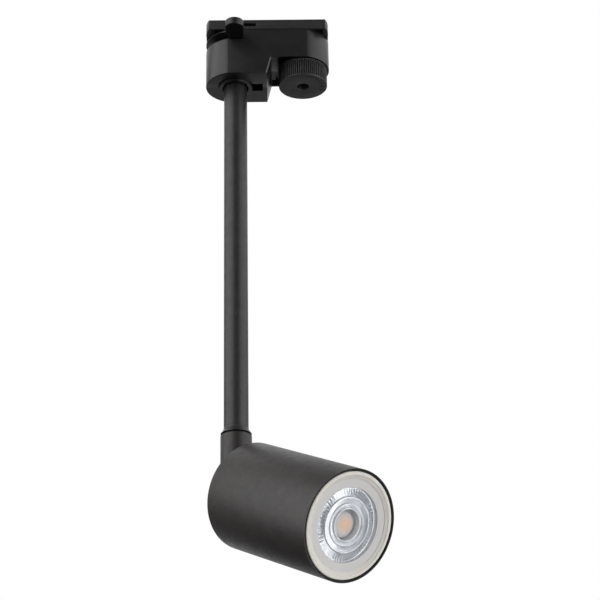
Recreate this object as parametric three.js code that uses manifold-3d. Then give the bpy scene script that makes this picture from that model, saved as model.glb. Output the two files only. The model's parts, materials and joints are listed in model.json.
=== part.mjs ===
// Track spotlight: a plug-in track adapter, a straight stem, and a cylindrical head that pans and
// tilts on a half-lap knuckle and holds a 50 mm reflector lamp. Millimetres, +Z up, front is -Y.
// The origin is the middle of the adapter's top face, the face that meets the track.

import * as THREE from 'three';
import { mergeVertices } from 'three/addons/utils/BufferGeometryUtils.js';
import Module from 'manifold-3d';

const wasm = await Module();
wasm.setup();

// ---------------------------------------------------------------- driving dimensions

const GAP = 0.3;                         // clearance between touching pieces

// Adapter, seen from above: two round ends joined by flat faces.
const END_SPACING = 35.6;                // stem axis to the centre of the right end
const END_RADIUS = 16.3;
const BODY_HALF_DEPTH = 15.9;            // flat front and back, a little inside the round ends
const STEM_X = -END_SPACING / 2;
const RIGHT_X = END_SPACING / 2;
const KNOB_X = 19.5;

// Adapter, levels from the track face down.
const PLATE_BOTTOM = -5.5;
const BODY_TOP = PLATE_BOTTOM - GAP;
const GROOVE_TOP = -7.1;
const GROOVE_BOTTOM = -11.9;
const LEVER_SHELF_BOTTOM = -13.1;
const RIGHT_FLOOR_TOP = -19.7;
const KNOB_RECESS_TOP = -21.1;
const NUT_SHELF_TOP = -22.5;
const NUT_SHELF_BOTTOM = -24;
const BODY_BOTTOM = -23.5;
const BLOCK_BOTTOM = -33.5;
const WALL = 1.6;

// Base plate.
const PLATE_HALF_LENGTH = 33.75;
const PLATE_HALF_DEPTH = 16.2;
const PLATE_CORNER_X = 1.75;             // how far each corner arc runs in along the length
const PLATE_CORNER_Y = 7;                // and along the depth

// Stem, swivel and head.
const STEM_RADIUS = 6.35;
const STEM_BORE = 5.35;
const STEM_TOP = NUT_SHELF_BOTTOM - GAP;
const STEM_BOTTOM = -234.1;
const FERRULE_BOTTOM = -238.15;
const COLLAR_TOP = -238.95;
const COLLAR_RADIUS = 8.05;
const PIVOT_Z = -268.45;
const HEAD_RADIUS = 27;
const HEAD_BORE = 25.8;
const HEAD_REAR = 12.8;                  // from the tilt pivot, along the head
const HEAD_FRONT = 89.6;
const HEADING = THREE.MathUtils.degToRad(-48.3);   // which way the head points, from +X
const TILT = THREE.MathUtils.degToRad(25.1);       // how far it points down

// Lamp, distances from the tilt pivot along the head.
const LAMP_FRONT = HEAD_FRONT - 0.2;
const LAMP_RADIUS = 25;
const LAMP_BACK = 42.3;
const PIN_SPACING = 10;
const PIN_TWIST = THREE.MathUtils.degToRad(20);

// Each kind of screw: head radius, head height, shank radius and shank length.
const SCREWS = {
  housing: [2.2, 1.5, 1.1, 14.5],
  plate: [2.6, 1.3, 1.1, 9],
  terminal: [1.4, 1.2, 0.9, 1.6],
  lock: [2.7, 1.4, 1.4, 8],
  knob: [2.8, 1.4, 1, 9],
  pivot: [3.2, 1.7, 1.6, 12.6],
  knuckle: [2.3, 1.4, 1.1, 7],
  bracket: [2.2, 1.3, 1.1, 3.4],
  holder: [2.6, 1.5, 1.2, 12],
};

const FINE = 36;                         // segments round a large circle
const MEDIUM = 16;
const COARSE = 10;
const SMALL = 8;

// ---------------------------------------------------------------- materials

function finish(color, roughness, metalness) {
  return new THREE.MeshStandardMaterial({ color, roughness, metalness });
}

const housingPlastic = finish(0x2b2a2c, 0.55, 0);
const leverPlastic = finish(0x1c1b1d, 0.6, 0);
const knobPlastic = finish(0x343335, 0.55, 0);
const innerPlastic = finish(0xd8d4c8, 0.5, 0);
const paintedSteel = finish(0x2f2e30, 0.5, 0.3);
const paintedAluminium = finish(0x353435, 0.45, 0.3);
const zincSteel = finish(0xb4b6b8, 0.35, 1);
const brass = finish(0xc9a24a, 0.35, 1);
const nylon = finish(0x141414, 0.7, 0);
const ceramic = finish(0xe9e6dd, 0.45, 0);
const lampPlastic = finish(0xe9e5d6, 0.4, 0);
const lensPlastic = finish(0xc9d2da, 0.08, 0);
const boardWhite = finish(0xe6e6e2, 0.5, 0);
const phosphor = finish(0xf0a93c, 0.6, 0);
const circuitGreen = finish(0x2d6a45, 0.5, 0);
const liveInsulation = finish(0x7a4a2a, 0.5, 0);
const neutralInsulation = finish(0x2f57a0, 0.5, 0);
const earthInsulation = finish(0x6f9a35, 0.5, 0);

// ---------------------------------------------------------------- joining and cutting

function toSolid(geometry) {
  const bare = new THREE.BufferGeometry();
  bare.setAttribute('position', geometry.getAttribute('position').clone());
  bare.setIndex(geometry.getIndex());
  const merged = mergeVertices(bare, 1e-4);
  const index = merged.getIndex().array;
  const corners = [];
  for (let i = 0; i < index.length; i += 3) {
    const [a, b, c] = [index[i], index[i + 1], index[i + 2]];
    if (a !== b && b !== c && c !== a) corners.push(a, b, c);
  }
  const vertProperties = Float32Array.from(merged.getAttribute('position').array);
  const mesh = new wasm.Mesh({ numProp: 3, vertProperties, triVerts: Uint32Array.from(corners) });
  mesh.merge();
  return new wasm.Manifold(mesh);
}

function fromSolid(solid) {
  const mesh = solid.getMesh();
  const geometry = new THREE.BufferGeometry();
  const positions = Float32Array.from(mesh.vertProperties);
  geometry.setAttribute('position', new THREE.BufferAttribute(positions, 3));
  geometry.setIndex(new THREE.BufferAttribute(Uint32Array.from(mesh.triVerts), 1));
  geometry.computeVertexNormals();
  return geometry;
}

function join(first, ...others) {
  return fromSolid(others.reduce((sum, other) => sum.add(toSolid(other)), toSolid(first)));
}

function cut(base, ...tools) {
  return fromSolid(tools.reduce((rest, tool) => rest.subtract(toSolid(tool)), toSolid(base)));
}

function overlap(first, second) {
  return fromSolid(toSolid(first).intersect(toSolid(second)));
}

// ---------------------------------------------------------------- basic shapes

function box(x0, x1, y0, y1, z0, z1) {
  const geometry = new THREE.BoxGeometry(x1 - x0, y1 - y0, z1 - z0);
  return geometry.translate((x0 + x1) / 2, (y0 + y1) / 2, (z0 + z1) / 2);
}

function cylinder(radius, bottom, top, segments = MEDIUM, x = 0, y = 0) {
  const geometry = new THREE.CylinderGeometry(radius, radius, top - bottom, segments);
  return geometry.rotateX(Math.PI / 2).translate(x, y, (bottom + top) / 2);
}

// A cylinder lying along Y at (x, z), from one y to another.
function crossCylinder(radius, y0, y1, segments, x, z) {
  const geometry = new THREE.CylinderGeometry(radius, radius, y1 - y0, segments);
  return geometry.translate(x, (y0 + y1) / 2, z);
}

function prism(outline, bottom, top, curveSegments = COARSE) {
  const options = { depth: top - bottom, bevelEnabled: false, curveSegments };
  return new THREE.ExtrudeGeometry(outline, options).translate(0, 0, bottom);
}

// An outline drawn as [x, z] corners, carried along Y.
function sideProfile(corners, y0, y1) {
  const outline = new THREE.Shape(corners.map(([x, z]) => new THREE.Vector2(x, z)));
  const options = { depth: y1 - y0, bevelEnabled: false };
  return new THREE.ExtrudeGeometry(outline, options).rotateX(Math.PI / 2).translate(0, y1, 0);
}

// A profile of [radius, z] corners turned about Z. Corners run with the material on their left.
function revolve(corners, segments = MEDIUM) {
  const profile = corners.map(([radius, z]) => new THREE.Vector2(radius, z));
  return new THREE.LatheGeometry(profile, segments).rotateX(Math.PI / 2);
}

function ring(outer, inner, bottom, top, segments = MEDIUM) {
  const corners = [[inner, bottom], [outer, bottom], [outer, top], [inner, top], [inner, bottom]];
  return revolve(corners, segments);
}

function annularSector(inner, outer, start, end, bottom, top, x = 0, y = 0) {
  const outline = new THREE.Shape();
  outline.absarc(x, y, outer, start, end, false);
  outline.absarc(x, y, inner, end, start, true);
  outline.closePath();
  return prism(outline, bottom, top);
}

function hexagon(acrossFlats, bottom, top) {
  return cylinder(acrossFlats / Math.sqrt(3), bottom, top, 6);
}

// A cross-headed screw along Z: the head's underside at z = 0, the shank going down.
function screw(kind) {
  const [headRadius, headHeight, shankRadius, length] = SCREWS[kind];
  const slotDepth = headHeight * 0.55;
  const slotHalf = headRadius * 0.16;
  const reach = headRadius * 0.6;
  const floor = headHeight - slotDepth;
  const head = cylinder(headRadius, 0, headHeight, COARSE);
  const shank = cylinder(shankRadius, -length, headHeight / 2, SMALL);
  return cut(
    join(head, shank),
    box(-reach, reach, -slotHalf, slotHalf, floor, headHeight + 1),
    box(-slotHalf, slotHalf, -reach, reach, floor, headHeight + 1),
  );
}

// A round wire along a smooth path through the points.
function wireAlong(points, radius, steps) {
  const section = new THREE.Shape();
  section.absarc(0, 0, radius, 0, 2 * Math.PI, false);
  const path = new THREE.CatmullRomCurve3(points.map((point) => new THREE.Vector3(...point)));
  return new THREE.ExtrudeGeometry(section, { steps, extrudePath: path, curveSegments: 6 });
}

const object = new THREE.Group();

function addPart(parent, name, geometry, material) {
  const mesh = new THREE.Mesh(geometry, material);
  mesh.name = name;
  parent.add(mesh);
  return mesh;
}

// ---------------------------------------------------------------- adapter housing

// The adapter's plan, drawn a chosen distance inside its outer surface.
function bodyOutline(inset) {
  const radius = END_RADIUS - inset;
  const crease = Math.asin((BODY_HALF_DEPTH - inset) / radius);
  const outline = new THREE.Shape();
  outline.absarc(STEM_X, 0, radius, Math.PI - crease, Math.PI + crease, false);
  outline.absarc(RIGHT_X, 0, radius, -crease, crease, false);
  outline.closePath();
  return outline;
}

// The block under the left end has a slanted right face.
const BLOCK_RIGHT_TOP = 2.2;
const BLOCK_RIGHT_BOTTOM = -0.3;

function blockSolid(inset, bottom, top) {
  const slope = (BLOCK_RIGHT_TOP - BLOCK_RIGHT_BOTTOM) / (BODY_BOTTOM - BLOCK_BOTTOM);
  const rightAt = (z) => BLOCK_RIGHT_BOTTOM + slope * (z - BLOCK_BOTTOM) - inset;
  const left = -2 * PLATE_HALF_LENGTH;
  const side = sideProfile(
    [[left, bottom], [rightAt(bottom), bottom], [rightAt(top), top], [left, top]],
    -2 * END_RADIUS,
    2 * END_RADIUS,
  );
  return overlap(prism(bodyOutline(inset), bottom, top), side);
}

const LEVER_CHAMBER = 14.4;              // radius round the lock lever inside the housing
const GROOVE_END = THREE.MathUtils.degToRad(75);   // the groove runs round the left end to here
const CARRIER_HOLE = 7.6;
const HUB_HOLE = 5.6;
const STEM_HOLE = 9.5;
const KEY_SLOT_REACH = 15.1;
const KEY_SLOT_HALF = 3.75;
const LEFT_CHAMBER_END = 4.2;            // the two chambers meet where they overlap
const RIGHT_CHAMBER_START = -2.2;
const CONTACT_SHAFT_HOLE = 4.6;
const SCREW_HOLE = 1.4;
const KNOB_RECESS_LEFT = 5.65;
const KNOB_RECESS_WALL = 0.9;
const BOSS_RADIUS = 2.7;
const SCREW_COUNTERBORE = 2.6;
const HOUSING_SCREWS = {
  housing_screw_left: [-30.2, -17],
  housing_screw_middle: [-5, -27.6],
  housing_screw_right: [30.6, -15],
};
const HOUSING_SCREW_SEAT = 7.6;          // y of the ledge under each screw head
const HOUSING_PILOT_END = -7.2;          // y where the blind hole for each screw's tip ends
const PLATE_SCREW_X = 1;
const PLATE_SCREW_Y = 10.6;
const PLATE_PILOT_END = -12;             // and z where the plate screws' blind holes end
const FAR = 60;                          // beyond the adapter on any side

function solidBody() {
  return join(
    prism(bodyOutline(0), BODY_BOTTOM, BODY_TOP),
    blockSolid(0, BLOCK_BOTTOM, BODY_BOTTOM + 1),
  );
}

function housingShell() {
  const leftChamber = overlap(
    prism(bodyOutline(WALL), NUT_SHELF_TOP, LEVER_SHELF_BOTTOM),
    box(-FAR, LEFT_CHAMBER_END, -FAR, FAR, NUT_SHELF_TOP, LEVER_SHELF_BOTTOM),
  );
  const rightChamber = overlap(
    prism(bodyOutline(WALL), RIGHT_FLOOR_TOP, GROOVE_TOP),
    box(RIGHT_CHAMBER_START, FAR, -FAR, FAR, RIGHT_FLOOR_TOP, GROOVE_TOP),
  );
  const knobRecess = overlap(
    prism(bodyOutline(KNOB_RECESS_WALL), BODY_BOTTOM - 1, KNOB_RECESS_TOP),
    box(KNOB_RECESS_LEFT, FAR, -FAR, FAR, BODY_BOTTOM - 1, KNOB_RECESS_TOP),
  );
  const leverGroove = annularSector(
    LEVER_CHAMBER - 1, END_RADIUS + 5, GROOVE_END, 2 * Math.PI - GROOVE_END,
    GROOVE_BOTTOM, GROOVE_TOP, STEM_X,
  );
  const keySlot = box(
    STEM_X, STEM_X + KEY_SLOT_REACH, -KEY_SLOT_HALF, KEY_SLOT_HALF, BLOCK_BOTTOM - 1, BLOCK_BOTTOM + 2,
  );
  return cut(
    solidBody(),
    cylinder(LEVER_CHAMBER, GROOVE_BOTTOM, GROOVE_TOP, FINE, STEM_X),
    leverGroove,
    cylinder(HUB_HOLE, GROOVE_TOP - 1, BODY_TOP + 1, MEDIUM, STEM_X),
    leftChamber,
    rightChamber,
    blockSolid(WALL, BLOCK_BOTTOM + 1.5, NUT_SHELF_BOTTOM),
    cylinder(STEM_BORE, NUT_SHELF_BOTTOM - 1, NUT_SHELF_TOP + 1, MEDIUM, STEM_X),
    cylinder(STEM_HOLE, BLOCK_BOTTOM - 1, BLOCK_BOTTOM + 2, MEDIUM, STEM_X),
    keySlot,
    knobRecess,
    cylinder(CONTACT_SHAFT_HOLE, KNOB_RECESS_TOP - 1, RIGHT_FLOOR_TOP + 1, MEDIUM, KNOB_X),
    cylinder(CARRIER_HOLE, GROOVE_TOP - 1, BODY_TOP + 1, MEDIUM, KNOB_X),
  );
}

// Bosses cross the housing for the three screws that hold its halves together, and two more hang
// from the top wall for the plate screws.
function housing() {
  let shell = housingShell();
  const outside = solidBody();
  for (const [x, z] of Object.values(HOUSING_SCREWS)) {
    const boss = overlap(crossCylinder(BOSS_RADIUS, -FAR, FAR, COARSE, x, z), outside);
    shell = cut(
      join(shell, boss),
      crossCylinder(SCREW_HOLE, HOUSING_PILOT_END, FAR, COARSE, x, z),
      crossCylinder(SCREW_COUNTERBORE, HOUSING_SCREW_SEAT, FAR, COARSE, x, z),
    );
  }
  for (const side of [-1, 1]) {
    const y = side * PLATE_SCREW_Y;
    shell = cut(
      join(shell, cylinder(BOSS_RADIUS, PLATE_PILOT_END - 0.5, GROOVE_TOP + 0.5, COARSE, PLATE_SCREW_X, y)),
      cylinder(SCREW_HOLE, PLATE_PILOT_END, BODY_TOP + 1, COARSE, PLATE_SCREW_X, y),
    );
  }
  return cut(shell, box(EARTH_X0 - GAP, EARTH_X1 + GAP, EARTH_Y - 0.6, EARTH_Y + 1.2, GROOVE_TOP - 1, 0));
}

function housingHalf(side) {
  const whole = housing();
  const other = side < 0 ? box(-FAR, FAR, -GAP / 2, FAR, -FAR, 0) : box(-FAR, FAR, -FAR, GAP / 2, -FAR, 0);
  return cut(whole, other);
}

// ---------------------------------------------------------------- base plate

const EARTH_X0 = 6;                      // earth contact strip, across the plate
const EARTH_X1 = 11;
const EARTH_Y = -10.9;

function plateOutline() {
  const arcRadius = (PLATE_CORNER_X ** 2 + PLATE_CORNER_Y ** 2) / (2 * PLATE_CORNER_X);
  const sweep = Math.asin(PLATE_CORNER_Y / arcRadius);
  const centreX = PLATE_HALF_LENGTH - arcRadius;
  const centreY = PLATE_HALF_DEPTH - PLATE_CORNER_Y;
  const outline = new THREE.Shape();
  outline.absarc(centreX, centreY, arcRadius, 0, sweep, false);
  outline.absarc(-centreX, centreY, arcRadius, Math.PI - sweep, Math.PI, false);
  outline.absarc(-centreX, -centreY, arcRadius, Math.PI, Math.PI + sweep, false);
  outline.absarc(centreX, -centreY, arcRadius, -sweep, 0, false);
  outline.closePath();
  return outline;
}

const LEFT_POCKET_END = -28.8;           // x of each pair of pockets' far side
const RIGHT_POCKET_END = 30.8;
const POCKET_DEPTH = 3.4;
const FRONT_SLOT_LEFT = -12.7;           // a small slot in the plate's front edge
const FRONT_SLOT_RIGHT = -6.2;
const FRONT_SLOT_TOP = -2.1;
const FRONT_SLOT_BOTTOM = -4;
const FRONT_SLOT_DEPTH = 3;

// Open pockets under each corner of the plate, outside the housing's round ends.
function cornerPocket(endX, outerX, side) {
  const depthTop = PLATE_BOTTOM + POCKET_DEPTH;
  const wall = side * (PLATE_HALF_DEPTH - 1.2);
  const inner = side * 6;
  const block = box(
    Math.min(outerX, endX), Math.max(outerX, endX),
    Math.min(wall, inner), Math.max(wall, inner),
    PLATE_BOTTOM - 1, depthTop,
  );
  return cut(block, cylinder(END_RADIUS - 0.7, PLATE_BOTTOM - 2, depthTop + 1, FINE, endX));
}

function basePlate() {
  const pockets = [-1, 1].flatMap((side) => [
    cornerPocket(STEM_X, LEFT_POCKET_END, side),
    cornerPocket(RIGHT_X, RIGHT_POCKET_END, side),
  ]);
  const frontSlot = box(
    FRONT_SLOT_LEFT, FRONT_SLOT_RIGHT,
    -FAR, -PLATE_HALF_DEPTH + FRONT_SLOT_DEPTH,
    FRONT_SLOT_BOTTOM, FRONT_SLOT_TOP,
  );
  const screwSeats = [-PLATE_SCREW_Y, PLATE_SCREW_Y].flatMap((y) => [
    cylinder(1.7, PLATE_BOTTOM - 1, 1, COARSE, PLATE_SCREW_X, y),
    cylinder(3, -2, 1, COARSE, PLATE_SCREW_X, y),
  ]);
  return cut(
    prism(plateOutline(), PLATE_BOTTOM, 0, 8),
    cylinder(HUB_HOLE, PLATE_BOTTOM - 1, 1, MEDIUM, STEM_X),
    cylinder(CARRIER_HOLE, PLATE_BOTTOM - 1, 1, MEDIUM, KNOB_X),
    frontSlot,
    box(EARTH_X0 - GAP, EARTH_X1 + GAP, EARTH_Y - 0.6, EARTH_Y + 1.2, PLATE_BOTTOM - 1, 1),
    ...pockets,
    ...screwSeats,
  );
}

// A bent brass strip that comes up through the plate to touch the track's earthed side.
function earthContact() {
  const thickness = 0.6;
  const profile = [
    [EARTH_Y, -13], [EARTH_Y + thickness, -13], [EARTH_Y + thickness, 0.4],
    [EARTH_Y + 2.6, 2.2], [EARTH_Y + 5.2, 0.9], [EARTH_Y + 5.5, 1.5],
    [EARTH_Y + 2.6, 2.9], [EARTH_Y, 0.7],
  ];
  const strip = sideProfile(profile, 0, EARTH_X1 - EARTH_X0);
  return strip.rotateZ(Math.PI / 2).translate(EARTH_X1, 0, 0);
}

// ---------------------------------------------------------------- lock lever

const LEVER_BOTTOM = -11.5;
const LEVER_TOP = -7.5;
const TAB_CENTRE = 26.2;                 // from the lever's axis
const TAB_RADIUS = 5;
const TAB_SHOULDER = 20.5;
const TAB_NECK_HALF = 3.45;
const LEVER_DISC = 11.5;                 // radius of the disc inside the groove
const HUB_RADIUS = 5.2;
const WING_BOTTOM = 0.9;
const WING_TOP = 5.2;

function lockLever() {
  const tab = new THREE.Shape();
  tab.moveTo(-TAB_NECK_HALF, -8);
  tab.lineTo(-TAB_NECK_HALF, -TAB_SHOULDER);
  tab.lineTo(-TAB_RADIUS, -TAB_SHOULDER);
  tab.absarc(0, -TAB_CENTRE, TAB_RADIUS, Math.PI, 2 * Math.PI, false);
  tab.lineTo(TAB_RADIUS, -TAB_SHOULDER);
  tab.lineTo(TAB_NECK_HALF, -TAB_SHOULDER);
  tab.lineTo(TAB_NECK_HALF, -8);
  tab.closePath();
  const lever = join(
    cylinder(LEVER_DISC, LEVER_BOTTOM, LEVER_TOP, FINE),
    cylinder(HUB_RADIUS, LEVER_TOP - 1, WING_BOTTOM - GAP),
    prism(tab, LEVER_BOTTOM, LEVER_TOP),
  );
  return cut(lever, cylinder(1.8, -6, FAR, COARSE));
}

// The wing turns across the track's slot to lock the adapter in.
function lockWing() {
  const wing = new THREE.Shape();
  const reach = 5.4;
  const half = 3.5;
  wing.absarc(reach, 0, half, -Math.PI / 2, Math.PI / 2, false);
  wing.absarc(-reach, 0, half, Math.PI / 2, 1.5 * Math.PI, false);
  wing.closePath();
  return cut(
    join(cylinder(4.6, WING_BOTTOM, WING_TOP - 1), prism(wing, WING_TOP - 2, WING_TOP, COARSE)),
    cylinder(1.8, 0, FAR, COARSE),
    cylinder(3, WING_TOP - 1.8, FAR, COARSE),
  );
}

// ---------------------------------------------------------------- contact knob and carrier

const KNOB_RADIUS = 13.35;
const KNOB_TOP = -22.1;
const KNOB_BOTTOM = -33.4;
const KNOB_FLOOR = -31.4;
const CARRIER_BOTTOM = -25.7;
const SHAFT_RADIUS = 4;
const NECK_RADIUS = 7.2;
const CARRIER_HEAD_BOTTOM = 0.5;
const CARRIER_HEAD_TOP = 6.6;
const STRIP_IN = 4.45;                   // contact strips stand this far from the carrier's axis
const STRIP_THICKNESS = 0.6;
const STRIP_HALF = 1.5;
const CONTACT_REACH = 9.6;
const BAND_OUTER = STRIP_IN + 0.5;

function contactKnob() {
  const rimRadius = KNOB_RADIUS + 0.25;
  const chamfer = 0.6;
  const innerRadius = KNOB_RADIUS - 1.6;
  const bossRadius = 5.8;
  const socketFloor = CARRIER_BOTTOM - GAP;
  const webBottom = socketFloor - 2;
  return revolve([
    [3.3, KNOB_BOTTOM], [KNOB_RADIUS - chamfer, KNOB_BOTTOM],
    [KNOB_RADIUS, KNOB_BOTTOM + chamfer], [KNOB_RADIUS, KNOB_TOP - 1.6],
    [rimRadius, KNOB_TOP - 1.4], [rimRadius, KNOB_TOP],
    [innerRadius, KNOB_TOP], [innerRadius, KNOB_FLOOR],
    [bossRadius, KNOB_FLOOR], [bossRadius, KNOB_TOP],
    [SHAFT_RADIUS + GAP, KNOB_TOP], [SHAFT_RADIUS + GAP, socketFloor],
    [1.6, socketFloor], [1.6, webBottom],
    [3.3, webBottom], [3.3, KNOB_BOTTOM],
  ], FINE);
}

function carrierHeadOutline() {
  const outline = new THREE.Shape();
  const reach = 2.6;
  const radius = 4.2;
  outline.absarc(reach, 0, radius, -Math.PI / 2, Math.PI / 2, false);
  outline.absarc(-reach, 0, radius, Math.PI / 2, 1.5 * Math.PI, false);
  outline.closePath();
  return outline;
}

const LIVE_BLADE = [4, 4.6];             // bottom and top of each contact blade
const NEUTRAL_BLADE = [1.9, 2.5];
const LIVE_BAND = [-18, -16];            // and of the band that its wiper rests on
const NEUTRAL_BAND = [-14, -12];

function contactCarrier() {
  const body = join(
    cylinder(SHAFT_RADIUS, CARRIER_BOTTOM, -8, MEDIUM),
    cylinder(CARRIER_HOLE + 1, -9.2, GROOVE_TOP - GAP, MEDIUM),
    cylinder(NECK_RADIUS, -8.5, CARRIER_HEAD_BOTTOM + 0.5, MEDIUM),
    prism(carrierHeadOutline(), CARRIER_HEAD_BOTTOM, CARRIER_HEAD_TOP, COARSE),
  );
  const slots = [[1, LIVE_BLADE], [-1, NEUTRAL_BLADE]].flatMap(([side, [bottom, top]]) => {
    const near = side * (STRIP_IN - GAP);
    const far = side * (STRIP_IN + STRIP_THICKNESS + GAP);
    const out = side * FAR;
    const half = STRIP_HALF + GAP;
    return [
      box(Math.min(near, far), Math.max(near, far), -half, half, -10, top + GAP),
      box(Math.min(near, out), Math.max(near, out), -half, half, bottom - GAP, top + GAP),
    ];
  });
  return cut(body, ...slots, cylinder(1.3, CARRIER_BOTTOM - 1, CARRIER_BOTTOM + 8, SMALL));
}

// One brass contact: a blade at the top, a strip down the shaft, and a band for its wiper.
function contactStrip([bladeBottom, bladeTop], [bandBottom, bandTop]) {
  const bandStart = THREE.MathUtils.degToRad(-14);
  const bandEnd = THREE.MathUtils.degToRad(104);
  return join(
    box(STRIP_IN, CONTACT_REACH, -STRIP_HALF, STRIP_HALF, bladeBottom, bladeTop),
    box(STRIP_IN, STRIP_IN + STRIP_THICKNESS, -STRIP_HALF, STRIP_HALF, bandBottom, bladeTop),
    annularSector(STRIP_IN - 0.1, BAND_OUTER, bandStart, bandEnd, bandBottom, bandTop),
  );
}

// ---------------------------------------------------------------- terminals and wiring

const TERMINAL_X0 = -3.4;
const TERMINAL_X1 = 3.9;
const TERMINAL_TOP = -13.4;
const TERMINAL_BOTTOM = NUT_SHELF_TOP + GAP;
const TERMINAL_PITCH = 5.2;
const TERMINAL_WIRE_Z = -18.6;
const WIRE_RADIUS = 0.85;
const TERMINALS = { live: TERMINAL_PITCH, earth: 0, neutral: -TERMINAL_PITCH };

function terminalBlock() {
  const half = TERMINAL_PITCH + 3;
  const holes = Object.values(TERMINALS).flatMap((y) => [
    cylinder(1.7, TERMINAL_WIRE_Z + 1.8, TERMINAL_TOP + 1, COARSE, 0.5, y),
    box(TERMINAL_X0 - 1, 2.6, y - 1.3, y + 1.3, TERMINAL_WIRE_Z - 1.3, TERMINAL_WIRE_Z + 1.3),
  ]);
  return cut(
    box(TERMINAL_X0, TERMINAL_X1, -half, half, TERMINAL_BOTTOM, TERMINAL_TOP),
    ...holes,
  );
}

// A springy brass strip from the terminal block that rubs on a contact's band.
function wiper(side, [bandBottom, bandTop]) {
  const near = side * (BAND_OUTER + GAP);
  const far = side * (BAND_OUTER + GAP + 0.5);
  const y0 = Math.min(near, far);
  const y1 = Math.max(near, far);
  return box(TERMINAL_X1 + GAP, KNOB_X + 2.5, y0, y1, bandBottom + 0.3, bandTop - 0.3);
}

const STEM_WIRE_OFFSET = 1.25;
const STEM_WIRE_END = -247;

// From a terminal over the nipple's rim and down the whole stem.
function stemWire(side) {
  const terminalY = side * TERMINAL_PITCH;
  const y = side * STEM_WIRE_OFFSET;
  const bend = wireAlong([
    [1.6, terminalY, TERMINAL_WIRE_Z],
    [-4.2, terminalY, TERMINAL_WIRE_Z],
    [-7.6, side * 4.2, -16.4],
    [-11.5, side * 2.4, -14.7],
    [STEM_X + 2.2, side * 1.5, -14.5],
    [STEM_X + 0.4, y, -16],
    [STEM_X, y, -18.4],
    [STEM_X, y, -22],
  ], WIRE_RADIUS, 24);
  return join(bend, cylinder(WIRE_RADIUS * 0.98, STEM_WIRE_END, -21.5, 6, STEM_X, y));
}

const TAG_TOP = -20.1;
const TAG_BOTTOM = -20.9;

function earthTag() {
  return cut(
    join(
      cylinder(7, TAG_BOTTOM, TAG_TOP, MEDIUM, STEM_X),
      box(STEM_X + 5, STEM_X + 10.5, -1.5, 1.5, TAG_BOTTOM, TAG_TOP),
    ),
    cylinder(STEM_BORE, TAG_BOTTOM - 1, TAG_TOP + 1, MEDIUM, STEM_X),
  );
}

function earthWire() {
  return wireAlong([
    [1.6, 0, TERMINAL_WIRE_Z],
    [-3, 0, TERMINAL_WIRE_Z],
    [-5.6, 0, -18.4],
    [-8.4, 0, TAG_TOP + WIRE_RADIUS + 0.25],
  ], WIRE_RADIUS, 8);
}

// ---------------------------------------------------------------- stem

const NIPPLE_RADIUS = 4.85;
const NIPPLE_TOP = -16.4;

function stemNipple() {
  return ring(NIPPLE_RADIUS, 3.3, -44, NIPPLE_TOP, MEDIUM).translate(STEM_X, 0, 0);
}

function stemNut() {
  const nut = hexagon(14, TAG_TOP + GAP, NIPPLE_TOP - 0.4);
  return cut(nut, cylinder(STEM_BORE, -FAR, FAR, MEDIUM)).translate(STEM_X, 0, 0);
}

function lockWasher() {
  return ring(7.6, STEM_BORE, NUT_SHELF_TOP + GAP, TAG_BOTTOM - GAP, MEDIUM).translate(STEM_X, 0, 0);
}

const BUSHING_DROP = 0.9;                // how far it stands out under the block

// The collar that lines the hole where the stem enters the block.
function stemBushing() {
  const outer = STEM_HOLE - GAP;
  const inner = STEM_RADIUS + GAP;
  return ring(outer, inner, BLOCK_BOTTOM - BUSHING_DROP, NUT_SHELF_BOTTOM - GAP, MEDIUM)
    .translate(STEM_X, 0, 0);
}

function stemTube() {
  return ring(STEM_RADIUS, STEM_BORE, STEM_BOTTOM, STEM_TOP, FINE).translate(STEM_X, 0, 0);
}

const BOLT_RADIUS = 3.6;
const FLARE_STEPS = 4;

// The flared end piece, plugged into the bottom of the tube.
function stemFerrule() {
  const bore = BOLT_RADIUS + GAP;
  const flareTop = STEM_BOTTOM - GAP;
  const flareBottom = FERRULE_BOTTOM + 0.5;
  const growth = COLLAR_RADIUS - 0.1 - STEM_RADIUS;
  const flare = [];
  for (let step = FLARE_STEPS; step >= 0; step -= 1) {
    const t = step / FLARE_STEPS;
    flare.push([STEM_RADIUS + growth * t * t, flareTop + (flareBottom - flareTop) * t]);
  }
  return revolve([
    [bore, FERRULE_BOTTOM], [COLLAR_RADIUS - 0.1, FERRULE_BOTTOM],
    ...flare,
    [STEM_BORE - GAP, flareTop], [STEM_BORE - GAP, flareTop + 8],
    [bore, flareTop + 8], [bore, FERRULE_BOTTOM],
  ], FINE).translate(STEM_X, 0, 0);
}

// ---------------------------------------------------------------- swivel
// Built about the tilt pivot: +X the way the head points, +Y the tilt axis, +Z up.

const collarTop = COLLAR_TOP - PIVOT_Z;
const SHOULDER = 8.4;                    // each knuckle half clears the other's round end
const HOLLOW_RADIUS = 5.8;
const HOLLOW_DEPTH = 4.4;
const POST_RADIUS = 3.2;
const PIVOT_HOLE = 1.9;
const BOLT_HEAD_TOP = collarTop - 4.35;
const BOLT_HEAD_BOTTOM = BOLT_HEAD_TOP - 2.5;

// The half-lap's hollow: open on the joint face, with a post round the pivot screw.
function knuckleHollow(side) {
  const y0 = side > 0 ? -1 : -HOLLOW_DEPTH;
  const y1 = side > 0 ? HOLLOW_DEPTH : 1;
  return cut(
    crossCylinder(HOLLOW_RADIUS, y0, y1, MEDIUM, 0, 0),
    crossCylinder(POST_RADIUS, -FAR, FAR, MEDIUM, 0, 0),
  );
}

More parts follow.
